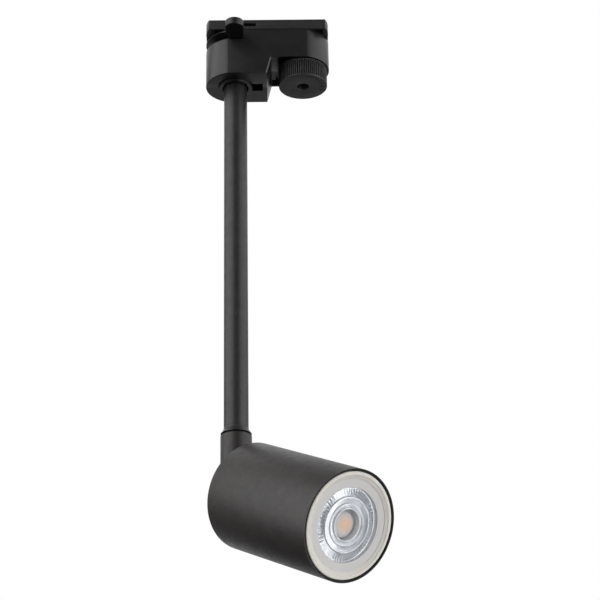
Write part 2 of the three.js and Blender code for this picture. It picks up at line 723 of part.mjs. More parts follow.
function swivelCollar() {
  const reach = COLLAR_RADIUS + 1;
  const upright = overlap(
    cylinder(COLLAR_RADIUS, -COLLAR_RADIUS - 1, collarTop, FINE),
    join(
      box(-reach, reach, -reach, reach, 0, collarTop + 1),
      crossCylinder(COLLAR_RADIUS, -reach, reach, FINE, 0, 0),
    ),
  );
  return cut(
    upright,
    box(-reach, reach, -reach, GAP / 2, -reach, SHOULDER),
    knuckleHollow(1),
    cylinder(BOLT_RADIUS + GAP, BOLT_HEAD_TOP - 1, collarTop + 1, MEDIUM),
    cylinder(5.6, 12, collarTop - 4.05, MEDIUM),
    box(-2.5, 2.5, 0, HOLLOW_DEPTH, 4, 13),
    crossCylinder(PIVOT_HOLE, -reach, reach, COARSE, 0, 0),
    hexagon(6.4, 0, reach).rotateX(-Math.PI / 2).translate(0, 5.5, 0),
  );
}

function swivelBolt() {
  const top = FERRULE_BOTTOM - PIVOT_Z + 11;
  return revolve([
    [2.5, BOLT_HEAD_BOTTOM], [5.2, BOLT_HEAD_BOTTOM], [5.2, BOLT_HEAD_TOP],
    [BOLT_RADIUS, BOLT_HEAD_TOP], [BOLT_RADIUS, top], [2.5, top], [2.5, BOLT_HEAD_BOTTOM],
  ], MEDIUM);
}

function swivelWasher() {
  return ring(7.1, BOLT_RADIUS + GAP, collarTop + 0.2, collarTop + 0.6, FINE);
}

function pivotNut() {
  const nut = cut(hexagon(5.8, 0, 2), cylinder(PIVOT_HOLE, -1, 3, COARSE));
  return nut.rotateX(-Math.PI / 2).translate(0, 5.6, 0);
}

// ---------------------------------------------------------------- tilting head
// Built about the tilt pivot: +Z forward along the head, +Y the tilt axis.

const KNUCKLE_FRONT = HEAD_REAR + 0.3;
const CAP_REAR = KNUCKLE_FRONT + GAP;
const CAP_INSIDE = CAP_REAR + 2.6;
const KNUCKLE_SCREW_X = 5.6;
const WIRE_BORE = 3.4;

function tiltKnuckle() {
  const reach = COLLAR_RADIUS + 1;
  const stub = overlap(
    cylinder(COLLAR_RADIUS, -reach, KNUCKLE_FRONT, FINE),
    join(
      box(-reach, reach, -reach, reach, 0, KNUCKLE_FRONT + 1),
      crossCylinder(COLLAR_RADIUS, -reach, reach, FINE, 0, 0),
    ),
  );
  return cut(
    stub,
    box(-reach, reach, -GAP / 2, reach, -reach, SHOULDER),
    knuckleHollow(-1),
    box(-2.5, 2.5, -HOLLOW_DEPTH, 0, 4, SHOULDER + 1),
    cylinder(WIRE_BORE, SHOULDER - 1, KNUCKLE_FRONT + 1, MEDIUM),
    crossCylinder(PIVOT_HOLE, -reach, reach, COARSE, 0, 0),
    crossCylinder(3.6, -reach, -5.7, MEDIUM, 0, 0),
    cylinder(1.4, SHOULDER + 0.6, KNUCKLE_FRONT + 1, SMALL, KNUCKLE_SCREW_X),
    cylinder(1.4, SHOULDER + 0.6, KNUCKLE_FRONT + 1, SMALL, -KNUCKLE_SCREW_X),
  );
}

function pivotScrew() {
  return screw('pivot').rotateX(Math.PI / 2).translate(0, -6, 0);
}

const BRACKET_SCREW_Y = 13;

function rearCap() {
  const outer = HEAD_BORE - GAP;
  const shell = revolve([
    [0, CAP_REAR], [outer, CAP_REAR], [outer, CAP_INSIDE + 6],
    [outer - 1.5, CAP_INSIDE + 6], [outer - 1.5, CAP_INSIDE], [0, CAP_INSIDE],
  ], FINE);
  return cut(
    shell,
    cylinder(WIRE_BORE, CAP_REAR - 1, CAP_INSIDE + 1, MEDIUM),
    cylinder(1.4, CAP_REAR - 1, CAP_INSIDE + 1, SMALL, KNUCKLE_SCREW_X),
    cylinder(1.4, CAP_REAR - 1, CAP_INSIDE + 1, SMALL, -KNUCKLE_SCREW_X),
    cylinder(1.4, CAP_REAR + 0.6, CAP_INSIDE + 1, SMALL, 0, BRACKET_SCREW_Y),
    cylinder(1.4, CAP_REAR + 0.6, CAP_INSIDE + 1, SMALL, 0, -BRACKET_SCREW_Y),
  );
}

function headHousing() {
  const chamfer = 0.4;
  return revolve([
    [HEAD_BORE, HEAD_REAR], [HEAD_RADIUS - chamfer, HEAD_REAR],
    [HEAD_RADIUS, HEAD_REAR + chamfer], [HEAD_RADIUS, HEAD_FRONT - chamfer],
    [HEAD_RADIUS - chamfer, HEAD_FRONT], [HEAD_BORE, HEAD_FRONT],
    [HEAD_BORE, HEAD_REAR],
  ], FINE);
}

// ---------------------------------------------------------------- lamp holder

const HOLDER_BACK = 30;
const HOLDER_FRONT = LAMP_BACK - GAP;
const HOLDER_RADIUS = 13.4;
const HOLDER_SCREW_Y = 8.6;
const STRAP = 1.2;
const STRAP_TOP = HOLDER_BACK - GAP;
const STRAP_HALF_WIDTH = 6;
const STRAP_LEG = 10.6;
const STRAP_FOOT = 16;

// A strap bent like a hat: two feet on the rear cap, two legs, and a top that carries the holder.
function holderBracket() {
  const foot = CAP_INSIDE + GAP;
  const half = [
    [STRAP_FOOT, foot], [STRAP_FOOT, foot + STRAP],
    [STRAP_LEG, foot + STRAP], [STRAP_LEG, STRAP_TOP],
  ];
  const mirrored = half.map(([y, z]) => [-y, z]).reverse();
  const underside = [
    [-STRAP_FOOT, foot], [-STRAP_LEG + STRAP, foot], [-STRAP_LEG + STRAP, STRAP_TOP - STRAP],
    [STRAP_LEG - STRAP, STRAP_TOP - STRAP], [STRAP_LEG - STRAP, foot],
  ];
  const outline = [...half, ...mirrored.slice(0, 3), ...underside];
  const strap = sideProfile(outline, -STRAP_HALF_WIDTH, STRAP_HALF_WIDTH).rotateZ(Math.PI / 2);
  return cut(
    strap,
    cylinder(4, STRAP_TOP - 3, STRAP_TOP + 1, MEDIUM),
    cylinder(1.5, 0, FAR, SMALL, 0, BRACKET_SCREW_Y),
    cylinder(1.5, 0, FAR, SMALL, 0, -BRACKET_SCREW_Y),
    cylinder(1.5, STRAP_TOP - 3, FAR, SMALL, 0, HOLDER_SCREW_Y),
    cylinder(1.5, STRAP_TOP - 3, FAR, SMALL, 0, -HOLDER_SCREW_Y),
  );
}

const PIN_HEAD_RADIUS = 2.5;
const PIN_END = 35.3;

function lampHolder() {
  const slotHalf = PIN_HEAD_RADIUS + GAP;
  const pinAt = PIN_SPACING / 2;
  const slots = [0, Math.PI].flatMap((turn) => {
    const start = turn - PIN_TWIST * 0.1;
    const end = turn + PIN_TWIST * 1.1;
    const bottom = PIN_END - 0.6;
    const top = HOLDER_FRONT + 1;
    return [
      annularSector(pinAt - slotHalf, pinAt + slotHalf, start, end, bottom, top),
      cylinder(slotHalf, bottom, top, COARSE, pinAt * Math.cos(start), pinAt * Math.sin(start)),
      cylinder(slotHalf, bottom, top, COARSE, pinAt * Math.cos(end), pinAt * Math.sin(end)),
      cylinder(1.2, HOLDER_BACK - 1, HOLDER_BACK + 3, SMALL, pinAt * Math.cos(turn)),
    ];
  });
  const screwHoles = [-HOLDER_SCREW_Y, HOLDER_SCREW_Y].flatMap((y) => [
    cylinder(1.7, HOLDER_BACK - 1, HOLDER_FRONT + 1, SMALL, 0, y),
    cylinder(3, HOLDER_FRONT - 3.4, HOLDER_FRONT + 1, COARSE, 0, y),
  ]);
  return cut(cylinder(HOLDER_RADIUS, HOLDER_BACK, HOLDER_FRONT, MEDIUM), ...slots, ...screwHoles);
}

// From the knuckle's bore, through the cap and the strap, into the back of the holder.
function headWire(side) {
  return wireAlong([
    [side * 1.1, -0.6, 9.4],
    [side * 1.2, 0, 14],
    [side * 1.4, 0, 18],
    [side * 1.9, 0, 23],
    [side * 2.3, 0, STRAP_TOP - 0.4],
  ], WIRE_RADIUS, 12);
}

// ---------------------------------------------------------------- reflector lamp

const SHELL_FRONT = LAMP_FRONT - 3.2;
const LENS_FACE = LAMP_FRONT - 1.5;
const BOARD_BACK = 69.2;

function lampShell() {
  return revolve([
    [0, LAMP_BACK], [13, LAMP_BACK], [14.5, 50], [16.5, 62],
    [LAMP_RADIUS - 0.1, SHELL_FRONT - 2], [LAMP_RADIUS - 0.1, SHELL_FRONT],
    [22.4, SHELL_FRONT], [22.4, SHELL_FRONT - 2.8],
    [14.3, BOARD_BACK + 2], [14.3, BOARD_BACK - GAP], [11, BOARD_BACK - GAP],
    [11, LAMP_BACK + 3.5], [0, LAMP_BACK + 3.5],
  ], FINE);
}

function lampShellWithPinHoles() {
  const hole = (side) => cylinder(1.8, LAMP_BACK - 1, LAMP_BACK + 5, SMALL, side * PIN_SPACING / 2);
  return cut(lampShell(), hole(1), hole(-1));
}

function lampPin(side) {
  return revolve([
    [0, PIN_END], [PIN_HEAD_RADIUS, PIN_END], [PIN_HEAD_RADIUS, PIN_END + 3],
    [1.5, PIN_END + 3], [1.5, LAMP_BACK + 5], [0, LAMP_BACK + 5],
  ], COARSE).translate(side * PIN_SPACING / 2, 0, 0);
}

function lampFrontRing() {
  const back = SHELL_FRONT + GAP;
  return revolve([
    [22.2, back], [LAMP_RADIUS, back], [LAMP_RADIUS, LAMP_FRONT - 0.6],
    [LAMP_RADIUS - 0.6, LAMP_FRONT], [23.2, LAMP_FRONT], [22.2, LAMP_FRONT - 0.8],
    [22.2, back],
  ], FINE);
}

// A total-internal-reflection lens with a flat flange and a cup over the light source.
function lampLens() {
  const flangeBack = LENS_FACE - 2.2;
  const foot = 71.6;
  return revolve([
    [4.8, foot], [6.6, foot], [17.4, flangeBack], [21.9, flangeBack],
    [21.9, LENS_FACE], [0, LENS_FACE], [0, foot + 5], [4.8, foot + 4],
    [4.8, foot],
  ], FINE);
}

// ---------------------------------------------------------------- assembly

function addAdapter() {
  addPart(object, 'base_plate', basePlate(), housingPlastic);
  addPart(object, 'housing_front', housingHalf(-1), housingPlastic);
  addPart(object, 'housing_back', housingHalf(1), housingPlastic);
  for (const [name, [x, z]] of Object.entries(HOUSING_SCREWS)) {
    const piece = screw('housing').rotateX(-Math.PI / 2);
    addPart(object, name, piece, zincSteel).position.set(x, HOUSING_SCREW_SEAT + GAP, z);
  }
  for (const [name, y] of [['plate_screw_front', -PLATE_SCREW_Y], ['plate_screw_back', PLATE_SCREW_Y]]) {
    const piece = screw('plate');
    addPart(object, name, piece, zincSteel).position.set(PLATE_SCREW_X, y, -2 + GAP);
  }
  addPart(object, 'earth_contact', earthContact(), brass);
  addPart(object, 'terminal_block', terminalBlock(), innerPlastic);
  for (const [name, y] of Object.entries(TERMINALS)) {
    const piece = screw('terminal');
    addPart(object, `terminal_screw_${name}`, piece, brass).position.set(0.5, y, TERMINAL_TOP - 1.5);
  }
  addPart(object, 'live_wiper', wiper(1, LIVE_BAND), brass);
  addPart(object, 'neutral_wiper', wiper(-1, NEUTRAL_BAND), brass);
  addPart(object, 'live_wire', stemWire(1), liveInsulation);
  addPart(object, 'neutral_wire', stemWire(-1), neutralInsulation);
  addPart(object, 'earth_wire', earthWire(), earthInsulation);
  addPart(object, 'earth_tag', earthTag(), brass);
}

function addLock() {
  const lock = new THREE.Group();
  lock.position.x = STEM_X;
  object.add(lock);
  addPart(lock, 'lock_lever', lockLever(), leverPlastic);
  addPart(lock, 'lock_wing', lockWing(), leverPlastic);
  addPart(lock, 'lock_screw', screw('lock'), zincSteel).position.z = WING_TOP - 1.8 + GAP;
}

function addContacts() {
  const contacts = new THREE.Group();
  contacts.position.x = KNOB_X;
  object.add(contacts);
  addPart(contacts, 'contact_knob', contactKnob(), knobPlastic);
  addPart(contacts, 'contact_carrier', contactCarrier(), leverPlastic);
  addPart(contacts, 'live_contact', contactStrip(LIVE_BLADE, LIVE_BAND), brass);
  const neutral = addPart(contacts, 'neutral_contact', contactStrip(NEUTRAL_BLADE, NEUTRAL_BAND), brass);
  neutral.rotation.z = Math.PI;
  const knobScrew = screw('knob').rotateX(Math.PI);
  addPart(contacts, 'knob_screw', knobScrew, zincSteel).position.z = CARRIER_BOTTOM - 2 - 2 * GAP;
}

function addStem() {
  addPart(object, 'stem_bushing', stemBushing(), housingPlastic);
  addPart(object, 'stem_nipple', stemNipple(), zincSteel);
  addPart(object, 'stem_nut', stemNut(), zincSteel);
  addPart(object, 'lock_washer', lockWasher(), zincSteel);
  addPart(object, 'stem_tube', stemTube(), paintedSteel);
  addPart(object, 'stem_ferrule', stemFerrule(), paintedSteel);
}

function addSwivel() {
  const swivel = new THREE.Group();
  swivel.position.set(STEM_X, 0, PIVOT_Z);
  swivel.rotation.z = HEADING;
  object.add(swivel);
  addPart(swivel, 'swivel_washer', swivelWasher(), nylon);
  addPart(swivel, 'swivel_bolt', swivelBolt(), zincSteel);
  addPart(swivel, 'swivel_collar', swivelCollar(), paintedAluminium);
  addPart(swivel, 'pivot_nut', pivotNut(), zincSteel);
  return swivel;
}

function addHead(swivel) {
  const head = new THREE.Group();
  head.rotation.y = Math.PI / 2 + TILT;
  swivel.add(head);
  addPart(head, 'tilt_knuckle', tiltKnuckle(), paintedAluminium);
  addPart(head, 'pivot_screw', pivotScrew(), zincSteel);
  addPart(head, 'rear_cap', rearCap(), paintedAluminium);
  addPart(head, 'head_housing', headHousing(), paintedAluminium);
  addPart(head, 'holder_bracket', holderBracket(), zincSteel);
  addPart(head, 'lamp_holder', lampHolder(), ceramic);
  for (const [name, side] of [['upper', -1], ['lower', 1]]) {
    const knuckleScrew = addPart(head, `knuckle_screw_${name}`, screw('knuckle'), zincSteel);
    knuckleScrew.position.set(side * KNUCKLE_SCREW_X, 0, CAP_INSIDE + GAP);
  }
  for (const [name, side] of [['left', 1], ['right', -1]]) {
    const bracketScrew = addPart(head, `bracket_screw_${name}`, screw('bracket'), zincSteel);
    bracketScrew.position.set(0, side * BRACKET_SCREW_Y, CAP_INSIDE + STRAP + 2 * GAP);
    const holderScrew = addPart(head, `holder_screw_${name}`, screw('holder'), zincSteel);
    holderScrew.position.set(0, side * HOLDER_SCREW_Y, HOLDER_FRONT - 3.4 + GAP);
  }
  addPart(head, 'head_live_wire', headWire(1), liveInsulation);
  addPart(head, 'head_neutral_wire', headWire(-1), neutralInsulation);
  return head;
}

function addLamp(head) {
  addPart(head, 'lamp_shell', lampShellWithPinHoles(), lampPlastic);
  addPart(head, 'lamp_front_ring', lampFrontRing(), lampPlastic);
  addPart(head, 'lamp_lens', lampLens(), lensPlastic);
  addPart(head, 'lamp_pin_upper', lampPin(-1), brass);
  addPart(head, 'lamp_pin_lower', lampPin(1), brass);
  addPart(head, 'led_board', cylinder(13.9, BOARD_BACK, BOARD_BACK + 1.6, MEDIUM), boardWhite);
  addPart(head, 'led_chip', cylinder(4.2, BOARD_BACK + 1.9, BOARD_BACK + 3.1, COARSE), phosphor);
  const driver = box(-9, 9, -0.6, 0.6, LAMP_BACK + 5.5, BOARD_BACK - 1);
  addPart(head, 'driver_board', driver, circuitGreen);
}

addAdapter();
addLock();
addContacts();
addStem();
addLamp(addHead(addSwivel()));

export default object;
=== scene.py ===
"""Looks of the track spotlight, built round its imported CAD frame.

Shapes are modelled in millimetres in a frame of their own (adapter, stem, knob, swivel or head) and
set down in metres where the frame's joints say. Front is -Y, up is +Z.
"""
import json
import math

import bmesh
import bpy
from mathutils import Matrix, Vector


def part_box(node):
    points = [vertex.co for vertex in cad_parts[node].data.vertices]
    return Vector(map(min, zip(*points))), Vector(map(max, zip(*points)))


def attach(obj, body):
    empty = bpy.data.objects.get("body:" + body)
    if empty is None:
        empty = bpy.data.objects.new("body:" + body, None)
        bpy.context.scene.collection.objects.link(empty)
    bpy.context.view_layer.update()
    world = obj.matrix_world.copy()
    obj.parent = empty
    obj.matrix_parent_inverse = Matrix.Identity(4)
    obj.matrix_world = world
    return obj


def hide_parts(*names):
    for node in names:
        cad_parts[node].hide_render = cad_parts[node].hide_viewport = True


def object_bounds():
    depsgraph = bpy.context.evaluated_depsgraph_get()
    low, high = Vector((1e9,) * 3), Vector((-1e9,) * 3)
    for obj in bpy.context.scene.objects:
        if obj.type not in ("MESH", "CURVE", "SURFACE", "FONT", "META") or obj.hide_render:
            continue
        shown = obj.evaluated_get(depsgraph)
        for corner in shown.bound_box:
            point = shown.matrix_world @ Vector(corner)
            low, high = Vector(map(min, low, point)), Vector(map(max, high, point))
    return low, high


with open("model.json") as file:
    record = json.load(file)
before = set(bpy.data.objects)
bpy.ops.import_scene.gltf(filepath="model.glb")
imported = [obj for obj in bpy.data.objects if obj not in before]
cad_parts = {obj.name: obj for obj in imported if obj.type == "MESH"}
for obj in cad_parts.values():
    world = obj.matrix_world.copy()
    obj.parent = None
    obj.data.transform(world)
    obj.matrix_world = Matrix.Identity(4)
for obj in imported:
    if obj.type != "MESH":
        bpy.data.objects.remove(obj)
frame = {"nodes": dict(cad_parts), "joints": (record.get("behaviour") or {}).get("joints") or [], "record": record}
cad_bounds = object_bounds()

MM = 0.001
GAP = 0.3  # clearance between touching pieces, in millimetres
FAR = 60.0  # beyond the adapter on any side, in millimetres
joints = {joint["name"]: joint for joint in frame["joints"]}


# ---- frames taken from the joints

def axes_frame(origin, y_axis, z_axis):
    """A frame at origin with the given Y and Z axes, scaled so that its unit is a millimetre."""
    x_axis = y_axis.cross(z_axis)
    turn = Matrix((x_axis, y_axis, z_axis)).transposed().to_4x4()
    return Matrix.Translation(origin) @ turn @ Matrix.Scale(MM, 4)


pivot = Vector(joints["head_tilt"]["pos_m"])
tilt_axis = Vector(joints["head_tilt"]["axis"]).normalized()
head_axis = Vector(joints["lamp_twist"]["axis"]).normalized()
stem_x = joints["head_pan"]["pos_m"][0]
knob_x = joints["contact_turn"]["pos_m"][0]
up = Vector((0, 0, 1))

ADAPTER = Matrix.Scale(MM, 4)
STEM = Matrix.Translation((stem_x, 0, 0)) @ ADAPTER
KNOB = Matrix.Translation((knob_x, 0, 0)) @ ADAPTER
SWIVEL = axes_frame(pivot, tilt_axis, up)
HEAD = axes_frame(pivot, tilt_axis, head_axis)


# ---- sizes in millimetres

def size_mm(node):
    low, high = (Vector(corner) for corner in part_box(node))
    return (high - low) / MM


def low_mm(node):
    return Vector(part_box(node)[0]) / MM


def high_mm(node):
    return Vector(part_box(node)[1]) / MM


STEM_X = stem_x / MM
KNOB_X = knob_x / MM
RIGHT_X = -STEM_X  # centre of the housing's right end
END_RADIUS = size_mm("housing_front").x / 2 - RIGHT_X
BODY_HALF_DEPTH = -low_mm("housing_front").y
BODY_TOP = high_mm("housing_front").z
BLOCK_BOTTOM = low_mm("housing_front").z
BODY_BOTTOM = BLOCK_BOTTOM + 10
PLATE_HALF_LENGTH = high_mm("base_plate").x
PLATE_HALF_DEPTH = high_mm("base_plate").y
PLATE_BOTTOM = low_mm("base_plate").z
GROOVE_TOP = BODY_TOP - 1.3
GROOVE_BOTTOM = GROOVE_TOP - 4.8
SHELF_BOTTOM = GROOVE_BOTTOM - 1.2
LEVER_CHAMBER = 14.4
HUB_HOLE = 5.6
CARRIER_HOLE = 7.6
STEM_HOLE = 9.5
WALL = 1.6
SCREW_HOLE = 1.4

STEM_RADIUS = size_mm("stem_tube").x / 2
STEM_BORE = STEM_RADIUS - 1
COLLAR_RADIUS = 8.05
HEAD_REAR = 12.8
HEAD_FRONT = 89.6
HEAD_RADIUS = 27.0
HEAD_BORE = 25.8
LAMP_FRONT = HEAD_FRONT - 0.2
LAMP_RADIUS = 25.7
BOLT_HOLE = 3.9  # for the hollow swivel bolt
WIRE_BORE = 3.4


# ---- mesh helpers

def object_from(bm):
    mesh = bpy.data.meshes.new("shape")
    bmesh.ops.recalc_face_normals(bm, faces=bm.faces)
    bm.to_mesh(mesh)
    bm.free()
    obj = bpy.data.objects.new("shape", mesh)
    bpy.context.collection.objects.link(obj)
    return obj


def fillet(before, corner, after, radius, steps):
    """Points of an arc of that radius that rounds a corner of a flat outline."""
    to_before = (before - corner).normalized()
    to_after = (after - corner).normalized()
    half = to_before.angle(to_after) / 2
    if half > math.radians(89):
        return [corner]
    room = 0.49 * min((before - corner).length, (after - corner).length)
    reach = min(radius / math.tan(half), room)
    radius = reach * math.tan(half)
    centre = corner + (to_before + to_after).normalized() * (radius / math.sin(half))
    start = corner + to_before * reach - centre
    end = corner + to_after * reach - centre
    sweep = start.angle_signed(end)
    return [centre + Matrix.Rotation(-sweep * i / steps, 2) @ start for i in range(steps + 1)]


def rounded(corners, steps=4):
    """A closed outline of (u, v, radius) corners with each corner rounded; radius may be left out."""
    points = [Vector(corner[:2]) for corner in corners]
    outline = []
    for i, corner in enumerate(corners):
        if len(corner) == 2:
            outline.append(points[i])
            continue
        outline += fillet(points[i - 1], points[i], points[(i + 1) % len(points)], corner[2], steps)
    return outline


def arc(centre, radius, start, end, steps):
    """Points of an arc about a flat centre, angles in degrees."""
    turns = (math.radians(start + (end - start) * i / steps) for i in range(steps + 1))
    return [Vector(centre) + radius * Vector((math.cos(turn), math.sin(turn))) for turn in turns]


def revolve(profile, segments=128, radius_at=None):
    """Turns a closed (radius, z) profile about Z. radius_at(point, turn) may change a radius."""
    bm = bmesh.new()
    rings = []
    for point in profile:
        if point[0] < 1e-6:
            rings.append([bm.verts.new((0, 0, point[1]))] * segments)
            continue
        ring = []
        for i in range(segments):
            turn = 2 * math.pi * i / segments
            radius = radius_at(point, turn) if radius_at else point[0]
            ring.append(bm.verts.new((radius * math.cos(turn), radius * math.sin(turn), point[1])))
        rings.append(ring)
    for here, there in zip(rings, rings[1:] + rings[:1]):
        for i in range(segments):
            j = (i + 1) % segments
            corners = [here[i], here[j], there[j], there[i]]
            unique = [v for k, v in enumerate(corners) if v not in corners[:k]]
            if len(unique) > 2:
                bm.faces.new(unique)
    return object_from(bm)


def prism(outline, bottom, top):
    """Carries a flat outline of (x, y) points up from one z to another."""
    bm = bmesh.new()
    lower = [bm.verts.new((point[0], point[1], bottom)) for point in outline]
    upper = [bm.verts.new((point[0], point[1], top)) for point in outline]
    bm.faces.new(lower)
    bm.faces.new(upper)
    for i in range(len(outline)):
        j = (i + 1) % len(outline)
        bm.faces.new((lower[i], lower[j], upper[j], upper[i]))
    return object_from(bm)


def side_prism(outline, y0, y1):
    """The same, for an outline of (x, z) points carried along Y."""
    obj = prism(outline, y0, y1)
    obj.data.transform(Matrix(((1, 0, 0, 0), (0, 0, 1, 0), (0, 1, 0, 0), (0, 0, 0, 1))))
    obj.data.flip_normals()
    return obj


def box(x0, x1, y0, y1, z0, z1):
    return prism([(x0, y0), (x1, y0), (x1, y1), (x0, y1)], z0, z1)


def cylinder(radius, bottom, top, x=0.0, y=0.0, segments=96):
    return prism(arc((x, y), radius, 0, 360 - 360 / segments, segments - 1), bottom, top)


def cross_cylinder(radius, y0, y1, x=0.0, z=0.0, segments=96):
    """A cylinder that lies along Y."""
    return side_prism(arc((x, z), radius, 0, 360 - 360 / segments, segments - 1), y0, y1)


def apply_modifiers(obj):
    graph = bpy.context.evaluated_depsgraph_get()
    mesh = bpy.data.meshes.new_from_object(obj.evaluated_get(graph))
    obj.modifiers.clear()
    old = obj.data
    obj.data = mesh
    bpy.data.meshes.remove(old)
    return obj


def combine(base, operation, tools):
    for tool in tools:
        modifier = base.modifiers.new("combine", "BOOLEAN")
        modifier.operation = operation
        modifier.solver = "EXACT"
        modifier.object = tool
    bpy.context.view_layer.update()
    apply_modifiers(base)
    for tool in tools:
        bpy.data.objects.remove(tool)
    return base


def carve(base, *tools):
    return combine(base, "DIFFERENCE", tools)


def fuse(base, *tools):
    return combine(base, "UNION", tools)


def keep_inside(base, tool):
    return combine(base, "INTERSECT", [tool])


def soften(obj, width, segments=3, angle=28):
    """Rounds every edge sharper than the angle."""
    bm = bmesh.new()
    bm.from_mesh(obj.data)
    bmesh.ops.remove_doubles(bm, verts=bm.verts, dist=0.004)
    bmesh.ops.dissolve_limit(bm, angle_limit=math.radians(0.6), verts=bm.verts, edges=bm.edges)
    bm.to_mesh(obj.data)
    bm.free()
    modifier = obj.modifiers.new("soften", "BEVEL")
    modifier.width = width
    modifier.segments = segments
    modifier.limit_method = "ANGLE"
    modifier.angle_limit = math.radians(angle)
    modifier.use_clamp_overlap = True
    bpy.context.view_layer.update()
    return apply_modifiers(obj)


def settle(obj, name, place, body, slot, nodes=(), material=None, smooth=32):
    """Sets a piece down in the object's frame and says what it rides on and replaces.

    Its material is its slot's own unless another is given.
    """
    obj.name = name
    obj.data.name = name
    obj.data.transform(place)
    obj.data.shade_smooth()
    obj.data.set_sharp_from_angle(angle=math.radians(smooth))
    obj.data.materials.clear()
    obj.data.materials.append(material or SLOT_MATERIALS[slot])
    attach(obj, body)
    if nodes:
        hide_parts(*nodes)
    return obj


# ---- camera

CAMERA_PLACE = Vector((2.0, -897.05, -574.86)) * MM
CAMERA_PITCH = math.radians(24.65)
CAMERA_YAW = math.radians(-0.88)
CAMERA_ROLL = math.radians(-1.0)
CAMERA_LENS = 112.92


def make_camera():
    data = bpy.data.cameras.new("camera")
    data.lens = CAMERA_LENS
    data.sensor_width = 36
    data.clip_start = 0.01
    camera = bpy.data.objects.new("camera", data)
    bpy.context.collection.objects.link(camera)
    level = Matrix.Rotation(CAMERA_YAW, 4, "Z") @ Matrix.Rotation(math.pi / 2 + CAMERA_PITCH, 4, "X")
    roll = Matrix.Rotation(CAMERA_ROLL, 4, "Z")
    camera.matrix_world = Matrix.Translation(CAMERA_PLACE) @ level @ roll
    bpy.context.scene.camera = camera


make_camera()


# ---- materials

def new_material(name):
    material = bpy.data.materials.new(name)
    material.use_nodes = True
    nodes = material.node_tree.nodes
    return material, nodes, nodes["Principled BSDF"]


def set_inputs(node, values):
    for socket, value in values.items():
        node.inputs[socket].default_value = value


def add_node(nodes, kind, values=None, **settings):
    """A new shader node, with its settings chosen and then its inputs' values."""
    node = nodes.new("ShaderNode" + kind)
    for setting, choice in settings.items():
        setattr(node, setting, choice)
    set_inputs(node, values or {})
    return node


def link(source, output, target, socket):
    source.id_data.links.new(source.outputs[output], target.inputs[socket])


def object_noise(nodes, scale, detail=3.0):
    """Noise fixed to the object, scale in cells per metre."""
    place = add_node(nodes, "TexCoord")
    noise = add_node(nodes, "TexNoise", {"Scale": scale, "Detail": detail})
    link(place, "Object", noise, "Vector")
    return noise


NOISE_LOW = 0.3  # noise seldom goes below or above these
NOISE_HIGH = 0.7


def ramp_between(nodes, noise, low, high):
    """A node whose Result runs from low to high as a noise does across its usual range."""
    spread = add_node(nodes, "MapRange", {
        "From Min": NOISE_LOW, "From Max": NOISE_HIGH, "To Min": low, "To Max": high,
    })
    link(noise, "Fac", spread, "Value")
    return spread


def mottle(nodes, bsdf, color, noise, spread):
    """Base colour that wanders a little either side of its mean."""
    darker = [c * (1 - spread) for c in color]
    lighter = [min(1, c * (1 + spread)) for c in color]
    mix = add_node(nodes, "Mix", {6: (*darker, 1), 7: (*lighter, 1)}, data_type="RGBA")
    link(ramp_between(nodes, noise, 0, 1), "Result", mix, 0)
    link(mix, 2, bsdf, "Base Color")


def uneven_gloss(nodes, bsdf, noise, low, high):
    """Roughness that wanders between two values."""
    link(ramp_between(nodes, noise, low, high), "Result", bsdf, "Roughness")


def bump_from(nodes, noise, distance):
    bump = add_node(nodes, "Bump", {"Strength": 1.0, "Distance": distance})
    link(noise, "Fac", bump, "Height")
    return bump


def grain(nodes, bsdf, scale, distance, coarse_scale=None):
    """Fine bump, and a second, coarser one under it if asked."""
    bump = bump_from(nodes, object_noise(nodes, scale, 2.0), distance)
    if coarse_scale:
        under = bump_from(nodes, object_noise(nodes, coarse_scale, 2.0), distance * 2)
        link(under, "Normal", bump, "Normal")
    link(bump, "Normal", bsdf, "Normal")


def coated(name, color, rough, spread, grain_scale, grain_height, specular=0.5):
    """A paint or moulded plastic: mottled colour, uneven gloss and a fine grain."""
    material, nodes, bsdf = new_material(name)
    mottle(nodes, bsdf, color, object_noise(nodes, 140, 4.0), spread)
    uneven_gloss(nodes, bsdf, object_noise(nodes, 320), *rough)
    set_inputs(bsdf, {"Specular IOR Level": specular})
    grain(nodes, bsdf, grain_scale, grain_height, grain_scale / 4)
    return material


def brushed(name, color, rough):
    """Turned or rolled metal with fine lines along Z."""
    material, nodes, bsdf = new_material(name)
    place = add_node(nodes, "TexCoord")
    stretch = add_node(nodes, "Mapping", {"Scale": (1, 1, 12)})
    lines = add_node(nodes, "TexNoise", {"Scale": 900})
    link(place, "Object", stretch, "Vector")
    link(stretch, "Vector", lines, "Vector")
    uneven_gloss(nodes, bsdf, lines, *rough)
    mottle(nodes, bsdf, color, object_noise(nodes, 400), 0.12)
    set_inputs(bsdf, {"Metallic": 1.0})
    bump = bump_from(nodes, lines, 0.00001)
    link(bump, "Normal", bsdf, "Normal")
    return material


def lamp_plastic_material():
    """Cream-white plastic that lets a little light into itself."""
    material = coated("lamp_plastic", (0.86, 0.83, 0.77), (0.28, 0.40), 0.02, 1800, 0.000004)
    bsdf = material.node_tree.nodes["Principled BSDF"]
    set_inputs(bsdf, {"Subsurface Weight": 0.15, "Subsurface Scale": 0.002})
    return material


def clear_material():
    """The lens's clear skin: mostly see-through, with a faint blue cast and a sharp gloss."""
    material, nodes, bsdf = new_material("clear_acrylic")
    mottle(nodes, bsdf, (0.80, 0.86, 0.95), object_noise(nodes, 90), 0.03)
    uneven_gloss(nodes, bsdf, object_noise(nodes, 500), 0.04, 0.10)
    set_inputs(bsdf, {"IOR": 1.49, "Alpha": 0.16})
    grain(nodes, bsdf, 600, 0.000004)
    return material


